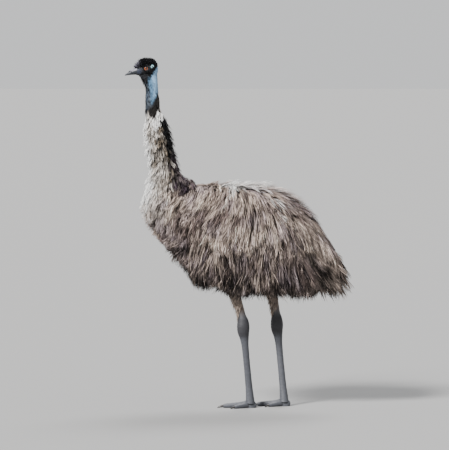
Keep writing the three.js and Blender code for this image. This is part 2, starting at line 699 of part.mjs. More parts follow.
// Feathered nodes, the hindmost first, so that the locks in front lie over those behind.
function addCoat() {
  const cores = {
    tail: trunk(...TAIL_CORE),
    wing_left: wingCore(1),
    wing_right: wingCore(-1),
    torso: trunk(...TORSO_CORE),
    breast: trunk(...BREAST_CORE),
    neck_lower: trunk(...NECK_CORE),
  };
  const tiers = {
    tail: [TAIL_TIERS, []],
    wing_left: [WING_TIERS, []],
    wing_right: [WING_TIERS, []],
    torso: [TORSO_TIERS, []],
    breast: [[], BREAST_RINGS],
    neck_lower: [[], NECK_RINGS],
  };
  for (const [name, core] of Object.entries(cores)) {
    const otherCores = Object.entries(cores).filter(([other]) => other !== name);
    const others = [...built, ...otherCores.map(([, solid]) => solid)];
    const ofWing = name.startsWith("wing");
    const made = coated(core, ...tiers[name], others, ofWing ? -WING[0].wide : LOCK_SINK);
    built.push(made);
    group.add(nodeOf(name, made, name === "neck_lower" ? materials.ruff : materials.plumage));
  }
}

// One leg: feathered shank, bare tarsus with its hock and pad, three toes and their claws.
function addLeg(name, { side, hockX, footX, hockY, footY, slope }) {
  const shank = limb(
    SHANK.map((s) => ({ ...s, x: hockX + s.back * slope, y: side * (hockY + s.out) })),
    10,
    8,
    FORWARD,
  );
  const trunkGrown = trunk(...TORSO_CORE, GAP);
  const cut = SHANK_END_Z + GAP / 2;
  const shankEnd = block([-900, -400, 0], [900, 400, cut]);
  const shankMade = shank.subtract(trunkGrown).subtract(shankEnd);
  built.push(shankMade);
  group.add(nodeOf(`leg_${name}_shank`, shankMade, materials.plumage));

  const between = (way) => ({
    x: hockX + (footX - hockX) * way,
    y: side * (hockY + (footY - hockY) * Math.max(way, 0)),
  });
  const makeTarsus = (grow) =>
    limb(
      TARSUS.map((s) => ({ ...s, ...between(s.way) })),
      10,
      6,
      FORWARD,
      { grow, plates: TARSUS_PLATES, platesFrom: TARSUS_PLATES_BELOW },
    )
      .add(ball(footX + 2, side * footY, 12, 30 + grow, 26 + grow, 17 + grow, 14, 8))
      .subtract(block([-900, -400, SHANK_END_Z - GAP / 2], [900, 400, 900]));
  group.add(nodeOf(`leg_${name}_tarsus`, makeTarsus(0).subtract(belowFloor), materials.leg));
  const tarsusGrown = makeTarsus(GAP + PLATE_HEIGHT * 0.1);

  let made = tarsusGrown;
  for (const toeName of ["middle", "inner", "outer"]) {
    const { splay, length, scale, claw } = TOES[toeName];
    const turn = THREE.MathUtils.degToRad(splay);
    const heading = new THREE.Vector3(-Math.cos(turn), side * Math.sin(turn), 0);
    const root = new THREE.Vector3(footX - 6, side * footY, 0);
    const placed = (stations, start, reach, size) =>
      stations.map((s) => {
        const at = root.clone().addScaledVector(heading, start + s.way * reach);
        return { x: at.x, y: at.y, z: s.z * size, wide: s.wide * size, deep: s.deep * size };
      });
    const makeToe = (grow) => limb(placed(TOE, 0, length, scale), 8, 1, UP, { grow, plates: TOE_PLATES });
    const toe = makeToe(0).subtract(made).subtract(belowFloor);
    group.add(nodeOf(`toe_${name}_${toeName}`, toe, materials.leg));
    made = made.add(makeToe(GAP));
    const nail = limb(placed(CLAW, length + GAP, claw, scale), 6, 3, UP).subtract(belowFloor);
    group.add(nodeOf(`claw_${name}_${toeName}`, nail, materials.claw));
  }
}

addHead();
addBill();
addUpperNeck();
addLeg("left", LEGS.left);
addLeg("right", LEGS.right);
addCoat();

// Sets the origin on the floor under the middle of the model.
const bounds = new THREE.Box3().setFromObject(group);
group.position.set(-(bounds.min.x + bounds.max.x) / 2, -(bounds.min.y + bounds.max.y) / 2, 0);

export default group;
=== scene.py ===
"""Looks of a standing emu, life size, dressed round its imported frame.

Places are written as on the bird itself, in metres: x runs from head to tail, with the hock of
the near leg at about 0, y runs across, with the bird's left side at -y, and z is the height
above the floor. Settled pieces are moved into the frame by the place of the left eye.
"""

from __future__ import annotations

import logging
import math
from dataclasses import dataclass, field
from enum import Enum

import bpy
import numpy as np
from mathutils import Matrix, Vector

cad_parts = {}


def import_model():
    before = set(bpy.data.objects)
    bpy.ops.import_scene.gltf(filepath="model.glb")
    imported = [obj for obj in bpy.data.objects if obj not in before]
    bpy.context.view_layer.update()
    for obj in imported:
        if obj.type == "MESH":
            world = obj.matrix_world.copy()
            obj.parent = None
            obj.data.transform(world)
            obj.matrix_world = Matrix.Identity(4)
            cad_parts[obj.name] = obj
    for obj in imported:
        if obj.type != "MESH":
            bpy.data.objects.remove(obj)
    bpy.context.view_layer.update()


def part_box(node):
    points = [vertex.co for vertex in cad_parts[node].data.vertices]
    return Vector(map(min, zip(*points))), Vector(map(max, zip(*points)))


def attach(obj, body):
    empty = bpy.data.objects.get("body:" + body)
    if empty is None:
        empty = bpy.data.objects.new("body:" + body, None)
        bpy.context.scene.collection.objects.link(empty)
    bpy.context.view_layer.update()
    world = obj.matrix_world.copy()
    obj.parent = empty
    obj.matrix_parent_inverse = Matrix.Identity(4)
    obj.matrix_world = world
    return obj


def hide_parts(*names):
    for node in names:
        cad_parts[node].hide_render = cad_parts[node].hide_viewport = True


log = logging.getLogger("emu")

MM = 0.001
BODY = "root"
MARKINGS = "markings"
BAKE_MAP = "OFBake"
BAKE_PATCH = 0.003
# steps that fill a square evenly, however many points are drawn
EVEN_STEPS = (0.7548776662, 0.5698402910)
EYE_RADIUS = 0.013
HEAD_PLACES = {
    "eye": (-0.474, 0.022, 1.666),
    "ear": (-0.443, 0.029, 1.675),
    "nostril": (-0.546, 0.013, 1.648),
}
# where a soft edge starts, and where it is full
Span = tuple[float, float]


class Slot(Enum):
    """Names of material slots."""

    PLUMAGE = "plumage"
    NECK_PLUMAGE = "neck_plumage"
    BODY_SKIN = "body_plumage"
    HEAD = "head_skin"
    BILL = "bill_horn"
    EYE = "eyeball"
    CLAW = "claw_horn"


class Side(Enum):
    """The two sides of the bird, with the sign of y there."""

    LEFT = -1
    RIGHT = 1


def srgb(red: int, green: int, blue: int) -> np.ndarray:
    """Turns a colour of 0 to 255 a channel into linear light."""
    channel = np.array([red, green, blue]) / 255
    return np.where(channel <= 0.04045, channel / 12.92, ((channel + 0.055) / 1.055) ** 2.4)


def unit(vectors: np.ndarray) -> np.ndarray:
    """Scales vectors on the last axis to a length of one."""
    return vectors / np.maximum(np.linalg.norm(vectors, axis=-1, keepdims=True), 1e-9)


def ease(value: np.ndarray, low: float, high: float) -> np.ndarray:
    """A smooth step from 0 at low to 1 at high. Low may be the larger of the two."""
    t = np.clip((value - low) / (high - low), 0, 1)
    return t * t * (3 - 2 * t)


def blend(first: np.ndarray, second: np.ndarray, share: np.ndarray) -> np.ndarray:
    """Mixes colours by a share for each row."""
    share = np.asarray(share)[..., None]
    return first * (1 - share) + second * share


def ripple(points: np.ndarray, wavelength: float, seed: int) -> np.ndarray:
    """A smooth wandering value from about -1 to 1 at each point.

    Args:
        points: Places, one in each row.
        wavelength: The rough size of its patches.
        seed: Chooses the pattern.

    Returns:
        One value for each point.
    """
    rng = np.random.default_rng(seed)
    total = np.zeros(points.shape[:-1])
    for _ in range(6):
        wave = unit(rng.normal(size=3)) * 2 * math.pi / (wavelength * rng.uniform(0.6, 1.5))
        total += np.sin(points @ wave + rng.uniform(0, 2 * math.pi))
    return total / 2.6


def curve_rows(rows: np.ndarray, at: np.ndarray) -> np.ndarray:
    """Reads rows of values along a smooth curve through them.

    Args:
        rows: The driving rows.
        at: Row numbers, which may lie between two rows.

    Returns:
        One row for each number.
    """
    last = len(rows) - 1
    i = np.minimum(at.astype(int), last - 1)
    t = (at - i)[:, None]
    p0, p1, p2, p3 = rows[np.maximum(i - 1, 0)], rows[i], rows[i + 1], rows[np.minimum(i + 2, last)]
    return p1 + 0.5 * t * ((p2 - p0) + t * (2 * p0 - 5 * p1 + 4 * p2 - p3 + t * (3 * (p1 - p2) + p3 - p0)))


@dataclass
class Trunk:
    """The line of the neck and trunk as stations, with their sections.

    A place on it has a station number u and an angle a round the section, in radians from the
    line of the back and positive on the bird's left.
    """

    stations: np.ndarray = field(
        default_factory=lambda: MM
        * np.array(
            [
                # x, z, half width, half depth, coat, hem, flesh below the core
                (-464, 1642, 27, 46, 2, 0, 0.5),
                (-447, 1580, 27, 31, 3, 0, 0.5),
                (-445, 1509, 28, 33, 4, 0, 0.5),
                (-443, 1460, 30, 35, 10, 0, 2),
                (-431, 1411, 37, 43, 25, 0, 8),
                (-422, 1362, 41, 49, 25, 0, 10),
                (-414, 1313, 44, 52, 25, 0, 10),
                (-403, 1264, 47, 54, 25, 0, 11),
                (-387, 1191, 55, 60, 28, 0, 14),
                (-376, 1135, 70, 73, 30, 0, 18),
                (-363, 1080, 94, 110, 36, 0, 22),
                (-336, 1020, 124, 150, 40, 14, 25),
                (-277, 962, 152, 168, 42, 60, 26),
                (-195, 918, 176, 186, 44, 116, 26),
                (-95, 892, 190, 193, 45, 107, 26),
                (20, 886, 195, 197, 45, 126, 26),
                (140, 871, 189, 182, 44, 126, 26),
                (250, 838, 168, 141, 41, 141, 24),
                (340, 791, 128, 91, 39, 150, 20),
                (405, 750, 84, 53, 38, 128, 14),
                (448, 716, 42, 26, 38, 140, 8),
            ]
        )
    )
    samples: int = 801

    def __post_init__(self) -> None:
        """Fills a fine table of the smoothed stations."""
        self.last = float(len(self.stations) - 1)
        self.at = np.linspace(0, self.last, self.samples)
        self.table = curve_rows(self.stations, self.at)
        self.slope = unit(np.gradient(self.table[:, :2], self.at, axis=0))

    def row(self, u: np.ndarray) -> np.ndarray:
        """The smoothed station values at u: x, z, wide, deep, coat, hem and flesh."""
        return np.stack([np.interp(u, self.at, column) for column in self.table.T], axis=-1)

    def point(self, u: np.ndarray, a: np.ndarray, out: float = 0.0) -> np.ndarray:
        """Places on the skin.

        Args:
            u: Station numbers.
            a: Angles from the line of the back.
            out: How far outside the skin, at most.

        Returns:
            One place for each pair of u and a.
        """
        x, z, wide, deep, _, _, flesh = np.moveaxis(self.row(u), -1, 0)
        sx = np.interp(u, self.at, self.slope[:, 0])
        sz = np.interp(u, self.at, self.slope[:, 1])
        across = (wide - flesh + out) * np.sin(a)
        up = (deep - flesh + out) * np.cos(a)
        return np.stack([x - sz * up, -across, z + sx * up], axis=-1)

    def frame(self, u: np.ndarray, a: np.ndarray) -> tuple[np.ndarray, ...]:
        """Places on the skin, their outward normals and the steps along and round it."""
        nudge = 0.01
        here = self.point(u, a)
        back = np.where(u > self.last - 2 * nudge, -nudge, nudge)
        along = (self.point(u + back, a) - here) / back[..., None]
        round_ = (self.point(u, a + nudge) - here) / nudge
        normal = unit(np.cross(along, round_))
        middle = self.point(u, a, -0.01)
        outwards = np.sign(np.sum(normal * (here - middle), axis=-1, keepdims=True))
        return here, normal * np.where(outwards == 0, 1, outwards), along, round_

    def spread(self, count: int, u_range: Span, a_range: Span, seed: int) -> tuple[np.ndarray, np.ndarray]:
        """Spreads roots evenly over a part of the skin.

        Args:
            count: How many roots.
            u_range: The first and last station.
            a_range: The first and last angle, in degrees.
            seed: Chooses the jitter.

        Returns:
            The roots' stations and angles.
        """
        rng = np.random.default_rng(seed)
        u = np.linspace(*u_range, 200)
        row = self.row(u)
        length = np.hypot(np.gradient(row[:, 0]), np.gradient(row[:, 1]))
        area = np.cumsum(length * (row[:, 2] + row[:, 3]))
        n = np.arange(count)
        first = (n * EVEN_STEPS[0] + rng.uniform()) % 1
        second = (n * EVEN_STEPS[1] + rng.uniform()) % 1
        stations = np.interp(first * area[-1], area, u)
        angles = np.radians(a_range[0] + (a_range[1] - a_range[0]) * second)
        return stations, angles


TRUNK = Trunk()


class Palette:
    """Colours of the skin and coat, in linear light."""

    blue = srgb(84, 124, 156)
    # painted light: the brighter blue of the lit back of the upper neck
    painted_light_blue = srgb(146, 188, 224)
    deep_blue = srgb(34, 50, 72)
    grey_blue = srgb(70, 80, 90)
    lores = srgb(32, 38, 54)
    black = srgb(7, 7, 10)
    face = srgb(12, 13, 20)
    ear = srgb(150, 196, 206)
    # pale grey: a painted highlight on the top of the bill's base, and the grey streaks of the brow
    bill_highlight_and_brow_grey = srgb(112, 110, 124)
    bill = srgb(34, 38, 46)
    olive = srgb(112, 100, 86)
    mauve = srgb(80, 68, 72)
    mantle = srgb(52, 42, 50)
    white = 1.35 * srgb(244, 242, 240)
    lilac = srgb(146, 134, 142)
    cream = 1.2 * srgb(208, 200, 192)
    beige = 1.15 * srgb(204, 186, 172)
    brown = srgb(112, 97, 93)
    # near black, used only as painted shade: under the coat, on the belly and on the shank feathers below it
    dark = srgb(16, 14, 16)
    leg = srgb(68, 70, 76)
    hock = srgb(42, 42, 46)
    shank = srgb(122, 108, 98)


@dataclass(frozen=True)
class Zone:
    """A stretch of the coat with soft edges: its share of an effect, and its turn and stations."""

    share: float
    turn: Span
    start: Span
    stop: Span | None = None

    def weight(self, u: np.ndarray, turn: np.ndarray) -> np.ndarray:
        """How strongly it holds at each root, from nothing up to its share."""
        inside = ease(turn, *self.turn) * ease(u, *self.start)
        if self.stop:
            inside = inside * ease(u, *self.stop)
        return inside * self.share


@dataclass(frozen=True)
class Patch:
    """An oval on the bird's sides: its middle along and up, its half sizes and its share."""

    x: float
    z: float
    wide: float
    tall: float
    share: float = 1.0

    def weight(self, place: np.ndarray) -> np.ndarray:
        """How strongly it holds at each place, with a soft edge."""
        away = np.hypot((place[..., 0] - self.x) / self.wide, (place[..., 2] - self.z) / self.tall)
        return ease(away, 1.2, 0.65) * self.share


@dataclass(frozen=True)
class Markings:
    """Where the colours lie on the neck, trunk and legs.

    Stations and turns are those of the trunk, a turn being the angle from the line of the back
    in degrees. A line is a row of turns, or of stations, with the value at each.
    """

    bare_line: tuple = ((20, 1.4), (90, 2.3), (150, 2.8))
    ragged: float = 0.35
    ruff_line: tuple = ((0, 3.3), (40, 3.45), (95, 4.0), (140, 3.0), (158, 2.5), (180, 2.4))
    mane_line: tuple = ((3.4, 38), (4.2, 60), (6, 60), (7.5, 62), (9, 68))
    throat_line: tuple = ((3, 138), (8, 138), (9.6, 130), (10.6, 146), (11.2, 168))
    trunk_from: Span = (9.4, 11.0)
    warm: Zone = Zone(0.7, (90, 120), (8.8, 9.6), (12, 10.5))
    rump: Zone = Zone(0.6, (30, 50), (17, 18.5))
    ridge: Zone = Zone(0.6, (34, 14), (16.2, 17.2))
    shoulder: Zone = Zone(0.7, (80, 25), (8.6, 9.8), (12.6, 11.2))
    # painted shade: the underside of the coat is painted near black
    belly_shade: Zone = Zone(0.85, (118, 140), (12.0, 12.8))
    mane_from: Span = (3.95, 4.2)
    mane_to: Span = (10.6, 8.6)
    mane_fades: Span = (6.8, 9.6)
    mane_edge: Span = (9, -6)
    throat_from: Span = (2.7, 3.0)
    throat_to: Span = (11.3, 10.6)
    throat_edge: Span = (-7, 5)
    ruff_turn: Span = (122, 104)
    ruff_start: Span = (-0.05, 0.1)
    ruff_stop: Span = (1.25, 0.6)
    ruff_join: Span = (4.25, 4.05)
    collar_edge: Span = (0.08, -0.08)
    strong: float = 0.95
    chest: Patch = Patch(-0.487, 1.045, 0.062, 0.085, 0.95)
    mantle: Patch = Patch(-0.288, 1.088, 0.075, 0.06)
    flecks: tuple = (
        Patch(-0.045, 1.055, 0.030, 0.036, 0.8),
        Patch(0.055, 1.055, 0.095, 0.022, 0.45),
        Patch(0.157, 0.985, 0.013, 0.018, 0.45),
        Patch(0.165, 0.925, 0.010, 0.016, 0.45),
        Patch(0.105, 1.030, 0.012, 0.012, 0.3),
    )
    # painted shadow in the gaps of the coat
    shadow_patches: tuple = (
        Patch(-0.30, 0.775, 0.09, 0.030),
        Patch(-0.21, 0.620, 0.05, 0.040),
        Patch(-0.05, 0.625, 0.09, 0.060),
        Patch(0.17, 0.605, 0.05, 0.035),
        Patch(0.335, 0.725, 0.016, 0.055),
        Patch(0.395, 0.650, 0.045, 0.060),
        Patch(-0.07, 0.745, 0.06, 0.022),
    )
    # heights on the skin, and distances behind the middle of the neck
    # painted light behind the upper neck, and partly painted shade in front of it
    painted_light_behind: Span = (0.0, 0.018)
    painted_light_above: Span = (1.48, 1.54)
    grey_before: Span = (0.0, -0.016)
    grey_height: float = 1.53
    mottled_before: Span = (0.01, -0.02)
    black_line: tuple = ((-0.03, 1.462), (0.0, 1.494), (0.03, 1.55))
    black_edge: Span = (0.012, -0.012)
    coat_shade_below: Span = (1.3, 1.2)
    # painted shade: the skin under the coat is painted near black
    face_edge: Span = (-0.004, 0.006)
    face_above: float = 1.56
    lores_before: Span = (-0.49, -0.503)
    lores_from: Span = (1.634, 1.642)
    lores_to: Span = (1.67, 1.662)
    ear_edge: Span = (0.0082, 0.007)
    # painted shade: black painted in the ear opening
    ear_shade_edge: Span = (0.0066, 0.0056)
    ear_shade_at: tuple = (0.004, -0.0058)
    hock_from: Span = (0.33, 0.37)
    hock_to: Span = (0.47, 0.43)
    shank_from: Span = (0.44, 0.52)
    legs_below: Span = (0.62, 0.56)

    def grows(self, u: np.ndarray, a: np.ndarray, chance: np.ndarray) -> np.ndarray:
        """Whether plumage grows at each root: lower in front, with a ragged upper edge."""
        edge = np.interp(np.degrees(np.abs(a)), *zip(*self.bare_line))
        return u > edge + self.ragged * chance

    def streaks(self, place: np.ndarray) -> np.ndarray:
        """Upright streaks, from about -1 to 1."""
        return ripple(place * np.array([1, 1, 0.3]), 0.035, 5)

    def base(self, u: np.ndarray, turn: np.ndarray, place: np.ndarray) -> np.ndarray:
        """The brown, beige and cream of the coat, before its markings."""
        mottle = 0.42 + 0.25 * ripple(place, 0.22, 6) + 0.4 * ripple(place, 0.05, 7)
        body = blend(Palette.brown, Palette.beige, np.clip(mottle, 0, 1))
        body = blend(body, Palette.lilac, np.clip(0.1 + 0.4 * ripple(place, 0.09, 8), 0, 0.6))
        neck = blend(Palette.olive, Palette.cream, np.clip(0.62 + 0.55 * self.streaks(place), 0, 1))
        colour = blend(neck, body, ease(u, *self.trunk_from))
        for zone, tone in (
            (self.warm, Palette.cream),
            (self.rump, Palette.beige),
            (self.ridge, Palette.mauve),
        ):
            colour = blend(colour, tone, zone.weight(u, turn))
        for fleck in self.flecks:
            colour = blend(colour, Palette.white, fleck.weight(place))
        return colour

    def coat(self, u: np.ndarray, a: np.ndarray, place: np.ndarray) -> np.ndarray:
        """The colour of the plumage.

        Args:
            u: Stations.
            a: Angles.
            place: Places.

        Returns:
            A colour for each row.
        """
        turn = np.degrees(np.abs(a))
        colour = self.base(u, turn, place)
        width = np.interp(u, *zip(*self.mane_line))
        outer, inner = self.mane_edge
        nape = ease(turn, width + outer, width + inner) * ease(u, *self.mane_from) * ease(u, *self.mane_to)
        fade = ease(u, *self.mane_fades) * 0.8
        colour = blend(colour, blend(np.tile(Palette.black, (len(u), 1)), Palette.mauve, fade), nape)
        colour = blend(colour, Palette.mauve, self.shoulder.weight(u, turn))
        border = np.interp(u, *zip(*self.throat_line))
        outer, inner = self.throat_edge
        throat = ease(turn, border + outer, border + inner)
        throat = throat * ease(u, *self.throat_from) * ease(u, *self.throat_to)
        colour = blend(colour, Palette.white, throat)
        low = np.interp(turn, *zip(*self.ruff_line))
        above = u - low
        beside = np.maximum(ease(turn, width - 6, width + 4), ease(u, *self.ruff_join))
        ruff = ease(above, *self.ruff_start) * ease(above, *self.ruff_stop) * beside
        colour = blend(colour, Palette.white, ruff * ease(turn, *self.ruff_turn) * self.strong)
        colour = blend(colour, Palette.black, ease(above, *self.collar_edge) * self.strong)
        colour = blend(colour, Palette.white, self.chest.weight(place))
        mantle = self.mantle.weight(place) * np.clip(0.75 + 0.4 * self.streaks(place), 0, 1)
        colour = blend(colour, Palette.mantle, mantle)
        # painted shade on the underside of the coat
        return blend(colour, Palette.dark, self.belly_shade.weight(u, turn))

    def shade(self, place: np.ndarray) -> np.ndarray:
        """How much painted shade darkens each place: in the hollows of the coat, and towards its lower edge.
        """
        low = ease(place[..., 2], 0.8, 0.62)
        gaps = np.clip(2.4 * ripple(place * np.array([1, 1, 0.22]), 0.022, 50) - 0.65, 0, 1)
        behind_chest = ease(place[..., 0], -0.44, -0.38)
        dark = 0.45 * low + gaps * (0.5 + 0.5 * low) * behind_chest
        streak = np.clip(1.0 + 0.5 * ripple(place * np.array([1, 1, 0.2]), 0.018, 51), 0, 1)
        for hollow_shade in self.shadow_patches:
            dark = np.maximum(dark, hollow_shade.weight(place) * streak)
        return np.clip(dark, 0, 1)

    def neck(self, place: np.ndarray) -> np.ndarray:
        """The bare neck's colour: blue and black below; greyer in front, partly its own grey and partly
        painted shade; painted light makes it brightest behind, and painted shade darkens it under the coat.
        """
        x, _, z = place.T
        upper = TRUNK.table[: TRUNK.samples // 2, :2][::-1]
        behind = x - np.interp(z, upper[:, 1], upper[:, 0])
        mottle = np.clip(0.35 + 0.5 * ripple(place, 0.009, 9) + 0.3 * ripple(place, 0.03, 10), 0, 1)
        # painted light: the back of the upper neck is painted brighter
        bright = ease(behind, *self.painted_light_behind) * ease(z, *self.painted_light_above)
        colour = blend(np.tile(Palette.blue, (len(x), 1)), Palette.painted_light_blue, bright)
        # partly painted shade: the front is painted greyer and darker, partly its own grey
        forward = behind + (z - self.grey_height) * 0.1
        colour = blend(colour, Palette.grey_blue, ease(forward, *self.grey_before))
        mottle = mottle * (0.3 + 0.5 * ease(behind, *self.mottled_before))
        colour = blend(colour, Palette.deep_blue, mottle)
        over = z - np.interp(behind, *zip(*self.black_line))
        colour = blend(colour, Palette.black, ease(over, *self.black_edge))
        # painted shade: near black where the coat covers the neck
        return blend(colour, Palette.dark, ease(z, *self.coat_shade_below))

    def skin(self, place: np.ndarray) -> np.ndarray:
        """The colour of the skin at each place."""
        x, _, z = place.T
        on_head = z > self.face_above
        colour = self.neck(place)
        face = ease(z - face_line(x), *self.face_edge) * on_head
        colour = blend(colour, Palette.face, face)
        lores = ease(x, *self.lores_before) * ease(z, *self.lores_from) * ease(z, *self.lores_to)
        colour = blend(colour, Palette.lores, lores)
        back, up = x - HEAD_PLACES["ear"][0], z - HEAD_PLACES["ear"][2]
        patch = ease(np.hypot(back, up * 0.85), *self.ear_edge) * on_head
        colour = blend(colour, Palette.ear, patch)
        # painted shade: the ear opening, already hollowed in the head, is painted black
        hole_x, hole_z = self.ear_shade_at
        hole = ease(np.hypot(back - hole_x, up * 0.7 - hole_z), *self.ear_shade_edge) * on_head
        colour = blend(colour, Palette.black, hole)
        hock = ease(z, *self.hock_from) * ease(z, *self.hock_to)
        bare = blend(np.tile(Palette.leg, (len(x), 1)), Palette.hock, hock)
        bare = blend(bare, Palette.shank, ease(z, *self.shank_from))
        return blend(colour, bare, ease(z, *self.legs_below))


def face_line(x: np.ndarray) -> np.ndarray:
    """The height down to which the black face reaches: from the throat up to behind the ear."""
    throat_x, throat_z, climb = -0.477, 1.589, 1.56
    return throat_z + climb * (x - throat_x)


MARKS = Markings()


class Nodes:
    """Adds and joins the shader nodes of one material."""

    def __init__(self, name: str) -> None:
        """Starts a material with a principled shader."""
        self.material = bpy.data.materials.new(name)
        self.material.use_nodes = True
        self.tree = self.material.node_tree
        self.shader = self.tree.nodes["Principled BSDF"]

    def add(self, kind: str, values: dict | None = None, **settings) -> bpy.types.Node:
        """Adds a node.

        Args:
            kind: The node's type name.
            values: Socket names with values, or sockets to link from.
            **settings: Properties of the node.

        Returns:
            The new node.
        """
        node = self.tree.nodes.new(kind)
        for key, value in settings.items():
            setattr(node, key, value)
        for key, value in (values or {}).items():
            self.put(node.inputs[key], value)
        return node

    def put(self, socket: bpy.types.NodeSocket, value: object) -> None:
        """Sets a socket to a value, or links it from another socket."""
        if isinstance(value, bpy.types.NodeSocket):
            self.tree.links.new(value, socket)
        else:
            socket.default_value = value

    def ramp(self, factor: object, stops: list[tuple[float, tuple]]) -> bpy.types.NodeSocket:
        """A colour ramp with the given stops.

        Args:
            factor: The socket that drives it.
            stops: Positions with colours.

        Returns:
            Its colour socket.
        """
        node = self.add("ShaderNodeValToRGB", {"Fac": factor})
        while len(node.color_ramp.elements) < len(stops):
            node.color_ramp.elements.new(0.5)
        for element, (position, colour) in zip(node.color_ramp.elements, stops):
            element.position = position
            element.color = (*colour, 1)
        return node.outputs["Color"]

    def mix(self, kind: str, factor: object, first: object, second: object) -> bpy.types.NodeSocket:
        """Mixes two colours and gives the result's socket."""
        node = self.add("ShaderNodeMix", data_type="RGBA", blend_type=kind)
        for index, value in ((0, factor), (6, first), (7, second)):
            self.put(node.inputs[index], value)
        return node.outputs[2]

    def noise(self, scale: float, detail: float = 4.0, stretch: tuple = (1, 1, 1)) -> bpy.types.NodeSocket:
        """Noise on the object's own coordinates, with its factor socket."""
        coords = self.add("ShaderNodeTexCoord")
        mapping = self.add("ShaderNodeMapping", {"Vector": coords.outputs["Object"], "Scale": stretch})
        node = self.add(
            "ShaderNodeTexNoise", {"Vector": mapping.outputs["Vector"], "Scale": scale, "Detail": detail}
        )
        return node.outputs["Fac"]

    def bump(
        self, height: object, strength: float, distance: float, normal: object = None
    ) -> bpy.types.NodeSocket:
        """A bump from a height, laid over another normal if one is given."""
        node = self.add("ShaderNodeBump", {"Height": height, "Strength": strength, "Distance": distance})
        if normal is not None:
            self.put(node.inputs["Normal"], normal)
        return node.outputs["Normal"]

    def finish(self, **sockets) -> bpy.types.Material:
        """Sets the shader's sockets, named with underscores for spaces."""
        for key, value in sockets.items():
            self.put(self.shader.inputs[key.replace("_", " ")], value)
        return self.material


@dataclass(frozen=True)
class PlumeFinish:
    """Feathers whose colour is held in their markings."""

    name: str = "plumes"
    roughness: float = 0.7

    def material(self) -> bpy.types.Material:
        """Makes the material."""
        nodes = Nodes(self.name)
        colour = nodes.add("ShaderNodeAttribute", attribute_name=MARKINGS).outputs["Color"]
        grain = nodes.ramp(nodes.noise(420.0, 2.0), [(0.25, (0.72,) * 3), (0.75, (1.0,) * 3)])
        return nodes.finish(
            Base_Color=nodes.mix("MULTIPLY", 1.0, colour, grain),
            Roughness=self.roughness,
            Specular_IOR_Level=0.12,
        )


@dataclass(frozen=True)
class SkinFinish:
    """Bare skin: fine folds on the neck and scales on the legs, with painted shade in the creases and lighter
    raised edges.
    """

    name: str = "bare_skin"
    roughness: float = 0.55

    def material(self) -> bpy.types.Material:
        """Makes the material."""
        nodes = Nodes(self.name)
        colour = nodes.add("ShaderNodeAttribute", attribute_name=MARKINGS).outputs["Color"]
        blotch = nodes.ramp(nodes.noise(90.0, 6.0), [(0.3, (0.62,) * 3), (0.7, (1.0,) * 3)])
        tone = nodes.mix("MULTIPLY", 0.8, colour, blotch)
        # painted shade: concave skin is darkened, and raised edges made lighter
        edges = nodes.add("ShaderNodeNewGeometry").outputs["Pointiness"]
        crease_shade = nodes.ramp(edges, [(0.44, (0.3,) * 3), (0.5, (0.86,) * 3), (0.56, (1.25,) * 3)])
        tone = nodes.mix("MULTIPLY", 0.9, tone, crease_shade)
        folds = nodes.bump(nodes.noise(260.0, 5.0, (1, 1, 0.45)), 0.5, 0.0012)
        coords = nodes.add("ShaderNodeTexCoord").outputs["Object"]
        cells = {"Vector": coords, "Scale": 480.0}
        pebbles = nodes.add("ShaderNodeTexVoronoi", cells, feature="SMOOTH_F1")
        normal = nodes.bump(pebbles.outputs["Distance"], 0.35, 0.0007, folds)
        return nodes.finish(
            Base_Color=tone, Roughness=self.roughness, Normal=normal, Specular_IOR_Level=0.42
        )


@dataclass(frozen=True)
class PaintedHornFinish:
    """Horn of the bill, whose colour is held in its markings."""

    name: str = "bill_horn"
    grain: tuple = (0.25, 1, 1)

    def material(self) -> bpy.types.Material:
        """Makes the material."""
        nodes = Nodes(self.name)
        colour = nodes.add("ShaderNodeAttribute", attribute_name=MARKINGS).outputs["Color"]
        streaks = nodes.ramp(nodes.noise(170.0, 6.0, self.grain), [(0.3, (0.6,) * 3), (0.7, (1.0,) * 3)])
        gloss = nodes.ramp(nodes.noise(70.0, 3.0), [(0.3, (0.45,) * 3), (0.7, (0.62,) * 3)])
        normal = nodes.bump(nodes.noise(320.0, 5.0, self.grain), 0.3, 0.0006)
        return nodes.finish(
            Base_Color=nodes.mix("MULTIPLY", 1.0, colour, streaks), Roughness=gloss, Normal=normal
        )


@dataclass(frozen=True)
class HornFinish:
    """Dark horn of the claws, paler where it is worn."""

    name: str = "claw_horn"
    dark: tuple = (0.008, 0.007, 0.007)
    pale: tuple = (0.03, 0.027, 0.026)
    roughness: float = 0.38
    grain: tuple = (0.25, 1, 1)

    def material(self) -> bpy.types.Material:
        """Makes the material."""
        nodes = Nodes(self.name)
        streaks = nodes.noise(160.0, 6.0, self.grain)
        tone = nodes.ramp(streaks, [(0.32, self.dark), (0.72, self.pale)])
        gloss = nodes.ramp(nodes.noise(70.0, 3.0), [(0.3, (0.3,) * 3), (0.7, (0.5,) * 3)])
        normal = nodes.bump(nodes.noise(320.0, 5.0, self.grain), 0.3, 0.0006)
        return nodes.finish(Base_Color=tone, Roughness=gloss, Normal=normal, Coat_Weight=0.15)


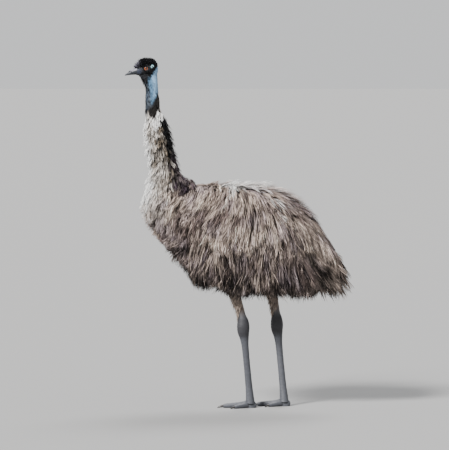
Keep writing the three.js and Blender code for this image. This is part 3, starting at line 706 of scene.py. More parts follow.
@dataclass(frozen=True)
class EyeFinish:
    """An orange-brown iris round a black pupil, under a wet cornea."""

    name: str = "wet_eye"
    pupil: float = 0.005
    iris: float = 0.0084

    def material(self, centre: Vector) -> bpy.types.Material:
        """Makes the material.

        Args:
            centre: The middle of the eyeball. Rings are drawn round its line across the bird.

        Returns:
            The new material.
        """
        nodes = Nodes(f"{self.name}_{'left' if centre.y < 0 else 'right'}")
        coords = nodes.add("ShaderNodeTexCoord").outputs["Object"]
        shift = nodes.add("ShaderNodeMapping", {"Vector": coords, "Location": -centre, "Scale": (1, 1, 1)})
        parts = nodes.add("ShaderNodeSeparateXYZ", {"Vector": shift.outputs["Vector"]})
        flat = nodes.add("ShaderNodeCombineXYZ", {"X": parts.outputs["X"], "Y": parts.outputs["Z"]})
        radius = nodes.add("ShaderNodeVectorMath", {0: flat.outputs["Vector"]}, operation="LENGTH")
        scaled = {0: radius.outputs["Value"], 1: 1 / EYE_RADIUS}
        share = nodes.add("ShaderNodeMath", scaled, operation="MULTIPLY")
        edge, rim = self.pupil / EYE_RADIUS, self.iris / EYE_RADIUS
        stops = [
            (edge - 0.03, (0.004, 0.003, 0.003)),
            (edge + 0.03, (0.2, 0.04, 0.006)),
            (edge + 0.15, (0.4, 0.095, 0.012)),
            (rim - 0.04, (0.3, 0.06, 0.01)),
            (rim + 0.06, (0.02, 0.012, 0.01)),
        ]
        rings = nodes.ramp(share.outputs["Value"], stops)
        fibres = nodes.ramp(nodes.noise(900.0, 3.0), [(0.3, (0.65,) * 3), (0.7, (1.1,) * 3)])
        return nodes.finish(
            Base_Color=nodes.mix("MULTIPLY", 0.6, rings, fibres),
            Roughness=0.06,
            Coat_Weight=1.0,
            Coat_Roughness=0.02,
        )


@dataclass(frozen=True)
class FloorFinish:
    """Plain pale studio floor."""

    name: str = "studio_floor"
    tone: tuple = (0.185, 0.185, 0.185)

    def material(self) -> bpy.types.Material:
        """Makes the material."""
        nodes = Nodes(self.name)
        return nodes.finish(Base_Color=(*self.tone, 1), Roughness=0.85)


def deselect() -> None:
    """Leaves edit mode and deselects every object."""
    if bpy.context.object and bpy.context.object.mode != "OBJECT":
        bpy.ops.object.mode_set(mode="OBJECT")
    bpy.ops.object.select_all(action="DESELECT")


def select(*objects: bpy.types.Object) -> None:
    """Selects only these objects, the last one active."""
    deselect()
    for obj in objects:
        obj.select_set(True)
    bpy.context.view_layer.objects.active = objects[-1]


def edit(obj: bpy.types.Object) -> None:
    """Opens one object in edit mode with all of it selected."""
    select(obj)
    bpy.ops.object.mode_set(mode="EDIT")
    bpy.ops.mesh.select_all(action="SELECT")


@dataclass(frozen=True)
class Ring:
    """One section of a loft: its middle, half sizes and the tilt of its plane about y."""

    x: float
    y: float
    z: float
    wide: float
    deep: float
    tilt: float = 0.0


def turn_selection(angle: float, centre: tuple) -> None:
    """Turns the selection about y through a centre, by the right-hand rule."""
    if abs(angle) > 1e-6:
        bpy.ops.transform.rotate(value=-angle, orient_axis="Y", center_override=centre)


def loft(name: str, rings: list[Ring], sides: int) -> bpy.types.Object:
    """Extrudes a disc through a row of sections, in a closed tube.

    A section with no tilt lies flat, with its depth along x and its width along y.

    Args:
        name: The object's name.
        rings: The sections in order.
        sides: How many sides each has.

    Returns:
        The closed tube.
    """
    deselect()
    start = rings[0]
    bpy.ops.mesh.primitive_circle_add(vertices=sides, radius=1, fill_type="NGON", location=(0, 0, 0))
    obj = bpy.context.object
    obj.name = obj.data.name = name
    edit(obj)
    bpy.ops.transform.resize(value=(start.deep, start.wide, 1), center_override=(0, 0, 0))
    turn_selection(start.tilt, (0, 0, 0))
    bpy.ops.transform.translate(value=(start.x, start.y, start.z))
    for before, ring in zip(rings, rings[1:]):
        bpy.ops.mesh.extrude_region_move()
        bpy.ops.transform.translate(value=(ring.x - before.x, ring.y - before.y, ring.z - before.z))
        middle = (ring.x, ring.y, ring.z)
        turn_selection(-before.tilt, middle)
        ratio = (ring.deep / before.deep, ring.wide / before.wide, 1)
        bpy.ops.transform.resize(value=ratio, center_override=middle)
        turn_selection(ring.tilt, middle)
    bpy.ops.mesh.select_all(action="SELECT")
    bpy.ops.mesh.normals_make_consistent(inside=False)
    bpy.ops.object.mode_set(mode="OBJECT")
    return obj


def smooth_rings(rings: list[Ring], count: int) -> list[Ring]:
    """Fits more sections through a few, on a smooth curve.

    Args:
        rings: The driving sections.
        count: How many to give back.

    Returns:
        The new sections.
    """
    rows = np.array([(r.x, r.y, r.z, r.wide, r.deep, r.tilt) for r in rings])
    return [Ring(*row) for row in curve_rows(rows, np.linspace(0, len(rows) - 1, count))]


def apply_modifier(obj: bpy.types.Object, kind: str, **settings) -> None:
    """Adds a modifier to an object and applies it."""
    select(obj)
    modifier = obj.modifiers.new(kind.lower(), kind)
    for key, value in settings.items():
        setattr(modifier, key, value)
    bpy.ops.object.modifier_apply(modifier=modifier.name)


def combine(obj: bpy.types.Object, other: bpy.types.Object, operation: str) -> None:
    """Joins another solid to an object, or cuts it out, and removes it."""
    apply_modifier(obj, "BOOLEAN", object=other, operation=operation, solver="EXACT")
    bpy.data.objects.remove(other)


def ball(name: str, centre: tuple, sizes: tuple, rings: int = 24) -> bpy.types.Object:
    """A stretched ball, its poles across the bird."""
    deselect()
    bpy.ops.mesh.primitive_uv_sphere_add(segments=rings * 2, ring_count=rings, radius=1)
    obj = bpy.context.object
    obj.name = obj.data.name = name
    turned = Matrix.Rotation(math.pi / 2, 4, "X")
    obj.data.transform(Matrix.Translation(centre) @ Matrix.Diagonal((*sizes, 1)) @ turned)
    return obj


def settle(obj: bpy.types.Object, shift: Vector, material: bpy.types.Material) -> None:
    """Moves a finished piece into the frame, dresses it and lets it ride on the body."""
    obj.data.transform(Matrix.Translation(shift))
    obj.data.materials.clear()
    obj.data.materials.append(material)
    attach(obj, BODY)
    log.info("%s: %d faces", obj.name, len(obj.data.polygons))


def paint(obj: bpy.types.Object, colours: np.ndarray) -> None:
    """Stores a colour for each vertex in the markings."""
    layer = obj.data.color_attributes.new(MARKINGS, "FLOAT_COLOR", "POINT")
    rows = np.ones((len(colours), 4), np.float32)
    rows[:, :3] = colours
    layer.data.foreach_set("color", rows.ravel())


def vertices_of(obj: bpy.types.Object) -> np.ndarray:
    """The places of an object's vertices, one in each row."""
    flat = np.zeros(len(obj.data.vertices) * 3, np.float32)
    obj.data.vertices.foreach_get("co", flat)
    return flat.reshape(-1, 3).astype(float)


@dataclass
class Leg:
    """One leg of flesh: shank, hock, scaled tarsus, pad and toes."""

    side: Side
    hock: tuple[float, float] = (0.001, 0.062)
    foot: tuple[float, float] = (0.036, 0.028)
    slope: float = 1.4
    shank: tuple = (
        # height, set back from the hock, out from it, half width, half depth
        (0.760, -0.094, 0.018, 0.036, 0.052),
        (0.700, -0.072, 0.016, 0.037, 0.048),
        (0.630, -0.049, 0.010, 0.031, 0.037),
        (0.568, -0.031, 0.004, 0.025, 0.026),
        (0.510, -0.017, 0.001, 0.020, 0.0225),
        (0.462, -0.007, 0.000, 0.0185, 0.0215),
    )
    tarsus: tuple = (
        # height, share of the way to the foot, half width, half depth
        (0.435, -0.05, 0.0225, 0.0265),
        (0.402, 0.00, 0.0255, 0.0300),
        (0.372, 0.02, 0.0225, 0.0275),
        (0.342, 0.15, 0.0180, 0.0210),
        (0.300, 0.28, 0.0150, 0.0165),
        (0.200, 0.55, 0.0142, 0.0155),
        (0.110, 0.79, 0.0152, 0.0165),
        (0.060, 0.92, 0.0195, 0.0190),
        (0.022, 1.00, 0.0240, 0.0220),
    )
    toes: dict = field(
        default_factory=lambda: {
            # splay in degrees, length without the claw, thickness, claw length
            "inner": (-32, 0.082, 0.88, 0.025),
            "middle": (2, 0.126, 1.0, 0.031),
            "outer": (34, 0.086, 0.86, 0.025),
        }
    )
    toe: tuple = (
        (0.0, 0.019, 0.0145, 0.0205),
        (0.3, 0.014, 0.0135, 0.0155),
        (0.6, 0.0115, 0.0125, 0.013),
        (0.85, 0.010, 0.011, 0.0115),
        (1.0, 0.0085, 0.0085, 0.009),
    )
    claw: tuple = (
        (0.0, 0.009, 0.006, 0.0062),
        (0.25, 0.0092, 0.0057, 0.006),
        (0.5, 0.0078, 0.005, 0.0052),
        (0.75, 0.0048, 0.0036, 0.0042),
        (1.0, 0.0014, 0.0012, 0.0013),
    )
    sides: int = 26
    ring_count: int = 178
    toe_mesh: tuple[int, int] = (54, 20)
    claw_mesh: tuple[int, int] = (14, 14)
    pad: tuple = (0.029, 0.0165, 0.0255)
    pad_at: tuple = (0.002, 0.0115)
    toe_root: float = -0.006
    claw_root: float = 0.004
    sole: float = 0.0002
    scaled_below: float = 0.47
    sparse: int = 6
    scute: float = 0.014
    scutes_below: float = 0.44
    relief: float = 0.0013
    plate_rise: float = 0.6
    plate_facing: Span = (0.3, 0.55)
    scale_rows: int = 8
    scale_share: float = 0.6

    @property
    def word(self) -> str:
        """The side's name."""
        return self.side.name.lower()

    def limb(self) -> bpy.types.Object:
        """Builds the shank and tarsus as one tube, closely ringed where it is scaled."""
        sign = self.side.value
        upper = [
            Ring(self.hock[0] + back * self.slope, sign * (self.hock[1] + out), z, wide, deep)
            for z, back, out, wide, deep in self.shank
        ]
        lower = []
        for z, way, wide, deep in self.tarsus:
            x = self.hock[0] + (self.foot[0] - self.hock[0]) * way
            y = self.hock[1] + (self.foot[1] - self.hock[1]) * max(way, 0)
            lower.append(Ring(x, sign * y, z, wide, deep))
        rings = smooth_rings(upper + lower, self.ring_count)
        shank = [ring for ring in rings if ring.z > self.scaled_below][:: self.sparse]
        scaled = [ring for ring in rings if ring.z <= self.scaled_below]
        return loft(f"leg_{self.word}", shank + scaled, self.sides)

    def heading(self, name: str) -> Vector:
        """The direction of a toe."""
        turn = math.radians(self.toes[name][0])
        return Vector((-math.cos(turn), self.side.value * math.sin(turn), 0))

    def digit(
        self, name: str, rows: tuple, start: float, reach: float, mesh: tuple[int, int]
    ) -> bpy.types.Object:
        """A toe or claw as a tube that lies along its heading.

        Args:
            name: The toe's name.
            rows: Way, height and half sizes of its sections.
            start: Where it starts along the heading.
            reach: Its length.
            mesh: How many sections and sides it has.

        Returns:
            The closed tube.
        """
        splay, _, scale, _ = self.toes[name]
        rings = [
            Ring(-(start + way * reach), 0, z * scale, wide * scale, deep * scale, math.pi / 2)
            for way, z, wide, deep in rows
        ]
        count, sides = mesh
        obj = loft(name, smooth_rings(rings, count), sides)
        splay = math.radians(splay)
        root = Vector((self.foot[0] + self.toe_root, self.side.value * self.foot[1], 0))
        turned = Matrix.Rotation(-self.side.value * splay, 4, "Z")
        obj.data.transform(Matrix.Translation(root) @ turned)
        return obj

    def emboss(self, obj: bpy.types.Object, start: Vector, heading: Vector, top: Vector, step: float) -> None:
        """Raises overlapping plates on the face that looks to top, and small scales on the rest.

        Args:
            obj: The tube.
            start: The place from which plates are counted.
            heading: The direction in which they follow each other.
            top: The side that carries the plates.
            step: The length of one plate.
        """
        place = vertices_of(obj)
        normal = np.zeros(place.size)
        obj.data.vertices.foreach_get("normal", normal)
        normal = normal.reshape(-1, 3)
        way = (place - np.array(start)) @ np.array(heading)
        rows = way / step
        plate = (rows % 1) ** self.plate_rise
        ahead = normal @ np.array(top)
        facing = ease(ahead, *self.plate_facing)
        round_ = self.scale_rows * np.arccos(np.clip(ahead, -1, 1))
        scale = np.abs(np.sin(rows * 2 * math.pi) * np.sin(round_)) * self.scale_share
        lift = self.relief * (plate * facing + scale * (1 - facing)) * ease(way, 0, 2 * step)
        obj.data.vertices.foreach_set("co", (place + normal * lift[:, None]).ravel())

    def build(self) -> bpy.types.Object:
        """Builds the whole leg of flesh as one closed solid."""
        leg = self.limb()
        down, ahead, up = Vector((0, 0, -1)), Vector((-1, 0, 0)), Vector((0, 0, 1))
        self.emboss(leg, Vector((0, 0, self.scutes_below)), down, ahead, self.scute)
        foot_x, foot_y = self.foot[0], self.side.value * self.foot[1]
        pad = (foot_x + self.pad_at[0], foot_y, self.pad_at[1])
        combine(leg, ball("pad", pad, self.pad, 12), "UNION")
        for name, (_, length, _, _) in self.toes.items():
            toe = self.digit(name, self.toe, 0, length, self.toe_mesh)
            self.emboss(toe, Vector((foot_x, foot_y, 0)), self.heading(name), up, self.scute / 2)
            combine(leg, toe, "UNION")
        self.flatten(leg)
        return leg

    def flatten(self, obj: bpy.types.Object) -> None:
        """Cuts the sole flat at the floor."""
        edit(obj)
        bpy.ops.mesh.bisect(plane_co=(0, 0, self.sole), plane_no=(0, 0, 1), use_fill=True, clear_inner=True)
        bpy.ops.object.mode_set(mode="OBJECT")

    def claws(self) -> dict[str, bpy.types.Object]:
        """Builds the three claws."""
        made = {}
        for name, (_, length, _, claw) in self.toes.items():
            start, reach = length - self.claw_root, claw + self.claw_root
            obj = self.digit(name, self.claw, start, reach, self.claw_mesh)
            obj.name = obj.data.name = f"horn_claw_{self.word}_{name}"
            self.flatten(obj)
            select(obj)
            bpy.ops.object.shade_smooth_by_angle(angle=math.radians(50))
            made[name] = obj
        return made


@dataclass
class Head:
    """The skull's flesh, with lids, brow and ear."""

    rings: tuple = (
        # x, height, half width, half depth
        (-0.530, 1.6495, 0.0130, 0.0140),
        (-0.522, 1.6515, 0.0160, 0.0185),
        (-0.508, 1.6565, 0.0215, 0.0270),
        (-0.492, 1.6612, 0.0275, 0.0355),
        (-0.472, 1.6634, 0.0315, 0.0405),
        (-0.450, 1.6636, 0.0325, 0.0415),
        (-0.434, 1.6622, 0.0270, 0.0350),
        (-0.422, 1.6585, 0.0145, 0.0225),
        (-0.416, 1.6570, 0.0060, 0.0100),
    )
    sides: int = 48
    count: int = 34
    # each ball: its place behind and above the eye or ear, its distance from the middle, its sizes
    brow: tuple = ((-0.001, 0.0155), 0.0235, (0.017, 0.0085, 0.006))
    ear_rim: tuple = ((0, 0), 0.0285, (0.0105, 0.0062, 0.0115))
    ear_hole: tuple = ((0, 0), 0.0362, (0.0055, 0.0062, 0.0066))
    socket_gap: float = 0.0002
    lid_radii: tuple[float, float] = (0.0108, 0.0031)
    lid_shape: tuple = (1.1, 0.86, 1.0, 1)
    lid_turn: float = 0.12
    lid_out: float = 0.0082
    lid_down: float = 0.0004

    def build(self) -> bpy.types.Object:
        """Builds the skull with raised lids and brows, and hollows for eyes and ears."""
        rings = [Ring(x, 0, z, wide, deep, math.pi / 2) for x, z, wide, deep in self.rings]
        head = loft("skull", smooth_rings(rings, self.count), self.sides)
        eye, ear = HEAD_PLACES["eye"], HEAD_PLACES["ear"]
        for side in Side:
            sign = side.value
            combine(head, self.lid(sign, eye), "UNION")
            combine(head, self.bead("brow", self.brow, eye, sign, 16), "UNION")
            combine(head, self.bead("ear_rim", self.ear_rim, ear, sign, 14), "UNION")
            combine(head, self.bead("ear_hole", self.ear_hole, ear, sign, 12), "DIFFERENCE")
            sizes = (EYE_RADIUS + self.socket_gap,) * 3
            combine(head, ball("socket", (eye[0], sign * eye[1], eye[2]), sizes, 24), "DIFFERENCE")
        return head

    def bead(self, name: str, make: tuple, near: tuple, sign: int, rings: int) -> bpy.types.Object:
        """A ball beside the eye or ear on one side."""
        (back, up), out, sizes = make
        return ball(name, (near[0] + back, sign * out, near[2] + up), sizes, rings)

    def lid(self, sign: int, eye: tuple) -> bpy.types.Object:
        """The raised rim of the lids on one side."""
        deselect()
        major, minor = self.lid_radii
        bpy.ops.mesh.primitive_torus_add(
            major_segments=44, minor_segments=14, major_radius=major, minor_radius=minor
        )
        lid = bpy.context.object
        stand = Matrix.Rotation(math.pi / 2 - sign * self.lid_turn, 4, "X")
        place = (eye[0], sign * (eye[1] + self.lid_out), eye[2] - self.lid_down)
        lid.data.transform(Matrix.Translation(place) @ stand @ Matrix.Diagonal(self.lid_shape))
        return lid


@dataclass
class Skin:
    """The one skin of the bird, with no seams between its parts."""

    rings: int = 74
    sides: int = 48
    sharp: float = 42

    def trunk(self) -> bpy.types.Object:
        """Builds the neck and trunk as one tube."""
        stations = np.linspace(0, TRUNK.last, self.rings)
        rings = []
        for u in stations:
            x, z, wide, deep, _, _, flesh = TRUNK.row(u)
            slope = [np.interp(u, TRUNK.at, TRUNK.slope[:, k]) for k in (0, 1)]
            tilt = math.atan2(-slope[0], -slope[1])
            rings.append(Ring(x, 0, z, wide - flesh, deep - flesh, tilt))
        return loft("skin", rings, self.sides)

    def build(self, legs: list[Leg]) -> bpy.types.Object:
        """Joins trunk, head and legs into one closed skin and paints its markings.

        Args:
            legs: Both legs.

        Returns:
            The skin.
        """
        skin = self.trunk()
        combine(skin, Head().build(), "UNION")
        for leg in legs:
            combine(skin, leg.build(), "UNION")
        edit(skin)
        bpy.ops.mesh.quads_convert_to_tris()
        bpy.ops.object.mode_set(mode="OBJECT")
        bpy.ops.object.shade_smooth_by_angle(angle=math.radians(self.sharp))
        paint(skin, MARKS.skin(vertices_of(skin)))
        return skin


@dataclass
class Bill:
    """The horny bill in two halves, parted at the gape."""

    rings: tuple = (
        # x, height, half width, half depth
        (-0.5185, 1.6525, 0.0176, 0.0192),
        (-0.5300, 1.6500, 0.0158, 0.0163),
        (-0.5450, 1.6450, 0.0133, 0.0118),
        (-0.5590, 1.6395, 0.0098, 0.0077),
        (-0.5700, 1.6353, 0.0062, 0.0050),
        (-0.5755, 1.6325, 0.0038, 0.0034),
        (-0.5785, 1.6310, 0.0016, 0.0018),
    )
    mouth: tuple = (
        (-0.500, 1.6385),
        (-0.519, 1.6405),
        (-0.535, 1.6410),
        (-0.550, 1.6385),
        (-0.562, 1.6342),
        (-0.572, 1.6310),
        (-0.590, 1.6260),
    )
    gape: float = 0.0006
    slab: float = 0.1
    top: float = 1.70
    bottom: float = 1.58
    mesh: tuple[int, int] = (30, 40)
    ridge_at: tuple = (-0.541, 0, 1.6555)
    ridge_sizes: tuple = (0.021, 0.0042, 0.0042)
    ridge_tilt: float = -0.33
    nostril: tuple = (0.0062, 0.0042, 0.0024)
    # painted highlight on the top of the bill's base
    highlight_behind: Span = (-0.555, -0.545)
    highlight_above: Span = (0.004, 0.01)
    sharp: float = 38

    def middle(self, x: np.ndarray) -> np.ndarray:
        """The height of the bill's middle line."""
        rows = np.array(self.rings)[::-1]
        return np.interp(x, rows[:, 0], rows[:, 1])

    def wedge(self, offset: float, far: float) -> bpy.types.Object:
        """A slab across the bird between the line of the mouth and a height.

        Args:
            offset: How far the line is moved up.
            far: The height of the slab's other edge.

        Returns:
            The slab.
        """
        deselect()
        outline = [(x, z + offset) for x, z in self.mouth]
        outline += [(self.mouth[-1][0], far), (self.mouth[0][0], far)]
        bpy.ops.mesh.primitive_circle_add(vertices=len(outline), radius=1, fill_type="NGON")
        obj = bpy.context.object
        for vertex, (x, z) in zip(obj.data.vertices, outline):
            vertex.co = (x, -self.slab / 2, z)
        edit(obj)
        bpy.ops.mesh.extrude_region_move(TRANSFORM_OT_translate={"value": (0, self.slab, 0)})
        bpy.ops.mesh.select_all(action="SELECT")
        bpy.ops.mesh.normals_make_consistent(inside=False)
        bpy.ops.object.mode_set(mode="OBJECT")
        return obj

    def half(self, name: str, far: float, offset: float) -> bpy.types.Object:
        """One half of the bill.

        Args:
            name: Its name.
            far: The height to which it is kept.
            offset: How far its edge is moved from the line of the mouth.

        Returns:
            The half.
        """
        rings = [Ring(x, 0, z, wide, deep, math.pi / 2) for x, z, wide, deep in self.rings]
        count, sides = self.mesh
        obj = loft(name, smooth_rings(rings, count), sides)
        combine(obj, self.wedge(offset, far), "INTERSECT")
        return obj

    def build(self) -> dict[str, bpy.types.Object]:
        """Builds both halves, with nostrils and a ridge along the top."""
        upper = self.half("horn_bill_upper", self.top, self.gape / 2)
        x, y, z = HEAD_PLACES["nostril"]
        ridge = ball("ridge", self.ridge_at, self.ridge_sizes, 14)
        edit(ridge)
        turn_selection(self.ridge_tilt, self.ridge_at)
        bpy.ops.object.mode_set(mode="OBJECT")
        combine(upper, ridge, "UNION")
        for side in Side:
            hole = ball("nostril", (x, side.value * y, z), self.nostril, 12)
            combine(upper, hole, "DIFFERENCE")
        lower = self.half("horn_bill_lower", self.bottom, -self.gape / 2)
        for half in (upper, lower):
            place = vertices_of(half)
            above = place[:, 2] - self.middle(place[:, 0])
            # painted highlight: the top of the bill's base is painted pale grey
            pale = ease(place[:, 0], *self.highlight_behind) * ease(above, *self.highlight_above)
            paint(half, blend(np.tile(Palette.bill, (len(place), 1)), Palette.bill_highlight_and_brow_grey, pale))
            select(half)
            bpy.ops.object.shade_smooth_by_angle(angle=math.radians(self.sharp))
        return {"bill_upper": upper, "bill_lower": lower}


@dataclass
class Eye:
    """One eyeball."""

    side: Side

    def build(self) -> bpy.types.Object:
        """Builds the eyeball."""
        x, y, z = HEAD_PLACES["eye"]
        eye = ball(f"eyeball_{self.side.name.lower()}", (x, self.side.value * y, z), (EYE_RADIUS,) * 3, 28)
        select(eye)
        bpy.ops.object.shade_smooth()
        return eye


@dataclass(frozen=True)
class Strand:
    """The make of one strand: its width and the ways of its rings, and how it strays."""

    width: float
    thick: float = 0.35
    rings: tuple[float, ...] = (0.0, 0.34, 0.64, 0.87)
    taper: tuple[float, ...] = (0.5, 1.0, 0.86, 0.5)
    wave: float = 0.006
    # dark roots: partly their own colour, partly painted shade under the locks above
    shade: tuple[float, ...] = (0.1, 0.28, 0.85, 1.2)
    shade_at: tuple[float, ...] = (0.0, 0.4, 0.78, 1.0)

    @property
    def ways(self) -> np.ndarray:
        """The ways of the rings and of the tip."""
        return np.append(self.rings, 1.0)

    def tones(self) -> np.ndarray:
        """How bright each ring and the tip are against the lock's colour: the dark roots are partly their own
        colour and partly painted shade under the locks above.
        """
        return np.interp(self.ways, self.shade_at, self.shade)


LONG = Strand(width=0.0039)
SHORT = Strand(width=0.0034, wave=0.0025)


@dataclass
class Bundle:
    """Strands laid out and ready to be made into one mesh.

    Places and normals have the axes ring, strand and coordinate, with the tips last.
    """

    centres: np.ndarray
    normals: np.ndarray
    half: np.ndarray
    colours: np.ndarray
    roots: np.ndarray
    thick: float

    def mesh(self, name: str) -> bpy.types.Object:
        """Makes one mesh object of closed three-sided tapering strands, with markings and bake map."""
        levels, count = self.centres.shape[0] - 1, self.centres.shape[1]
        along = unit(np.gradient(self.centres, axis=0))
        edge = unit(np.cross(along, self.normals))[:levels] * self.half[..., None]
        ridge = unit(np.cross(edge, along[:levels])) * self.half[..., None] * self.thick
        body = self.centres[:levels]
        corners = np.stack([body + edge, body + ridge, body - edge], axis=2)
        corners = corners.transpose(1, 0, 2, 3).reshape(count, -1, 3)
        points = np.concatenate([corners, self.centres[levels][:, None]], axis=1)
        size = levels * 3 + 1
        quads, tris = [], [(0, 2, 1)]
        for level in range(levels - 1):
            for corner in range(3):
                here, beside = level * 3 + corner, level * 3 + (corner + 1) % 3
                quads.append((here, beside, beside + 3, here + 3))
        for corner in range(3):
            tris.append((size - 4 + corner, size - 4 + (corner + 1) % 3, size - 1))
        offset = (np.arange(count) * size)[:, None, None]
        loops = np.concatenate([(np.array(quads) + offset).ravel(), (np.array(tris) + offset).ravel()])
        quad_count, tri_count = len(quads) * count, len(tris) * count
        starts = np.concatenate([np.arange(quad_count) * 4, quad_count * 4 + np.arange(tri_count) * 3])
        mesh = bpy.data.meshes.new(name)
        mesh.vertices.add(count * size)
        mesh.vertices.foreach_set("co", points.astype(np.float32).ravel())
        mesh.loops.add(len(loops))
        mesh.loops.foreach_set("vertex_index", loops.astype(np.int32))
        mesh.polygons.add(len(starts))
        mesh.polygons.foreach_set("loop_start", starts.astype(np.int32))
        mesh.polygons.foreach_set("use_smooth", np.ones(len(starts), bool))
        mesh.update(calc_edges=True)
        obj = bpy.data.objects.new(name, mesh)
        bpy.context.collection.objects.link(obj)
        rings = np.repeat(self.colours[:levels].transpose(1, 0, 2), 3, axis=1)
        paint(obj, np.concatenate([rings, self.colours[levels][:, None]], axis=1).reshape(-1, 3))
        way = np.append(np.repeat(np.arange(levels) / levels, 3), 1.0)
        side = np.append(np.tile([1.0, 0.5, 0.0], levels), 0.5)
        patch = self.roots[:, None, :] + BAKE_PATCH * (np.stack([way, side], axis=-1)[None] - 0.5)
        layer = mesh.uv_layers.new(name=BAKE_MAP)
        layer.data.foreach_set("uv", patch.reshape(-1, 2)[loops].astype(np.float32).ravel())
        return obj


@dataclass
class Paths:
    """Paths over the skin, with the axes step, root and coordinate."""

    places: np.ndarray
    normals: np.ndarray
    stations: np.ndarray
    angles: np.ndarray
    keep: np.ndarray

    def at(self, way: float) -> tuple[np.ndarray, np.ndarray, np.ndarray]:
        """The station, angle and place of each path at a share of its kept length."""
        step = np.minimum((self.keep * way).astype(int), len(self.places) - 1)
        each = np.arange(len(self.keep))
        return self.stations[step, each], self.angles[step, each], self.places[step, each]


@dataclass
class Lie:
    """How the coat lies on the trunk: the way that its locks fall, part and hang."""

    steps: int = 24
    # places along the bird, and how far the coat leans back there for each unit that it falls
    lean: tuple = (
        (-0.42, 0.15), (-0.30, -0.10), (-0.20, -0.42), (-0.10, -0.48), (0.00, -0.12), (0.10, 0.16),
        (0.25, 0.6), (0.36, 1.0), (0.46, 1.3),
    )
    lean_low: float = 0.4
    lean_full: Span = (0.66, 0.84)
    part_out: float = 0.55
    part_back: float = 0.6
    ridge: float = 0.3
    hang_share: float = 0.3
    hang_lean: float = 0.2
    # places along the bird, and the height at which the coat ends there
    hem: tuple = (
        (-0.530, 1.010), (-0.509, 0.970), (-0.478, 0.930), (-0.439, 0.880), (-0.399, 0.825),
        (-0.345, 0.762), (-0.290, 0.712), (-0.259, 0.655), (-0.228, 0.602), (-0.181, 0.592),
        (-0.134, 0.606), (-0.095, 0.590), (-0.056, 0.563), (0.023, 0.562), (0.077, 0.574),
        (0.116, 0.561), (0.210, 0.574), (0.257, 0.555), (0.343, 0.547), (0.374, 0.585),
        (0.413, 0.570), (0.467, 0.538), (0.491, 0.548), (0.540, 0.600),
    )
    # how far a lock turns under the body before it hangs free, less where the trunk is deep
    under: float = 0.9
    under_less: float = 0.55
    deep_hem: float = 0.1
    end_gap: float = 0.03
    end_free: float = 0.3

    def hem_at(self, x: np.ndarray) -> np.ndarray:
        """The height at which the coat ends, along the bird."""
        return np.interp(x, *zip(*self.hem))

    def lean_of(self, place: np.ndarray) -> np.ndarray:
        """How far the coat leans back for each unit that it falls."""
        lean = np.interp(place[:, 0], *zip(*self.lean))
        low = self.lean_low + (1 - self.lean_low) * ease(place[:, 2], *self.lean_full)
        return np.where(lean < 0, lean * low, lean)

    def paths(self, u: np.ndarray, a: np.ndarray, length: np.ndarray, fray: np.ndarray) -> Paths:
        """Lays a path for each root.

        Args:
            u: Stations of the roots.
            a: Angles of the roots.
            length: The length of each path.
            fray: How far above or below the hem line each path ends.

        Returns:
            The paths.
        """
        u, a = u.copy(), a.copy()
        step = length / self.steps
        out = -np.sign(a)
        free = np.zeros(len(u), bool)
        keep = np.full(len(u), float(self.steps))
        at, held = np.zeros((len(u), 3)), np.zeros((len(u), 3))
        heading = np.tile([0.0, 0.0, -1.0], (len(u), 1))
        kept: list[tuple] = []
        for index in range(self.steps + 1):
            here, normal, along, round_ = TRUNK.frame(np.clip(u, 0, TRUNK.last - self.end_gap), a)
            under = self.under - self.under_less * np.minimum(1, TRUNK.row(u)[:, 5] / self.deep_hem)
            starts = ~free & ((normal[:, 2] < -under) | (u > TRUNK.last - self.end_free))
            on = ~free if index == 0 else ~free & ~starts
            at[on], held[on] = here[on], normal[on]
            free |= starts
            lean = self.lean_of(at)
            hang = unit(np.stack([lean * self.hang_lean, -self.hang_lean * out, -np.ones(len(u))], axis=-1))
            dorsal = np.maximum(0, np.cos(a))
            back = lean + self.part_back * dorsal**2
            aside = self.part_out * dorsal * out * ease(np.abs(a), 0, self.ridge)
            wish = np.stack([back, aside, -np.ones(len(u))], axis=-1)
            wish = unit(wish - normal * np.sum(wish * normal, axis=-1, keepdims=True))
            loose = unit(heading * (1 - self.hang_share) + hang * self.hang_share)
            heading = np.where(free[:, None], loose, wish)
            turned = unit(held - heading * np.sum(held * heading, axis=-1, keepdims=True))
            held = np.where(free[:, None], turned, held)
            kept.append((at.copy(), held.copy(), u.copy(), a.copy()))
            low = self.hem_at(at[:, 0]) + fray
            keep[(at[:, 2] < low) & (keep == self.steps)] = index
            pace = heading * step[:, None]
            at = at + pace
            pairs = ((along, along), (along, round_), (round_, round_))
            uu, ua, aa = (np.sum(first * second, axis=-1) for first, second in pairs)
            hu, ha = np.sum(pace * along, axis=-1), np.sum(pace * round_, axis=-1)
            det = np.maximum(uu * aa - ua * ua, 1e-12)
            u = np.where(free, u, np.clip(u + (hu * aa - ha * ua) / det, 0, TRUNK.last - self.end_gap))
            a = np.where(free, a, a + (ha * uu - hu * ua) / det)
        return Paths(*(np.array(rows) for rows in zip(*kept)), keep)


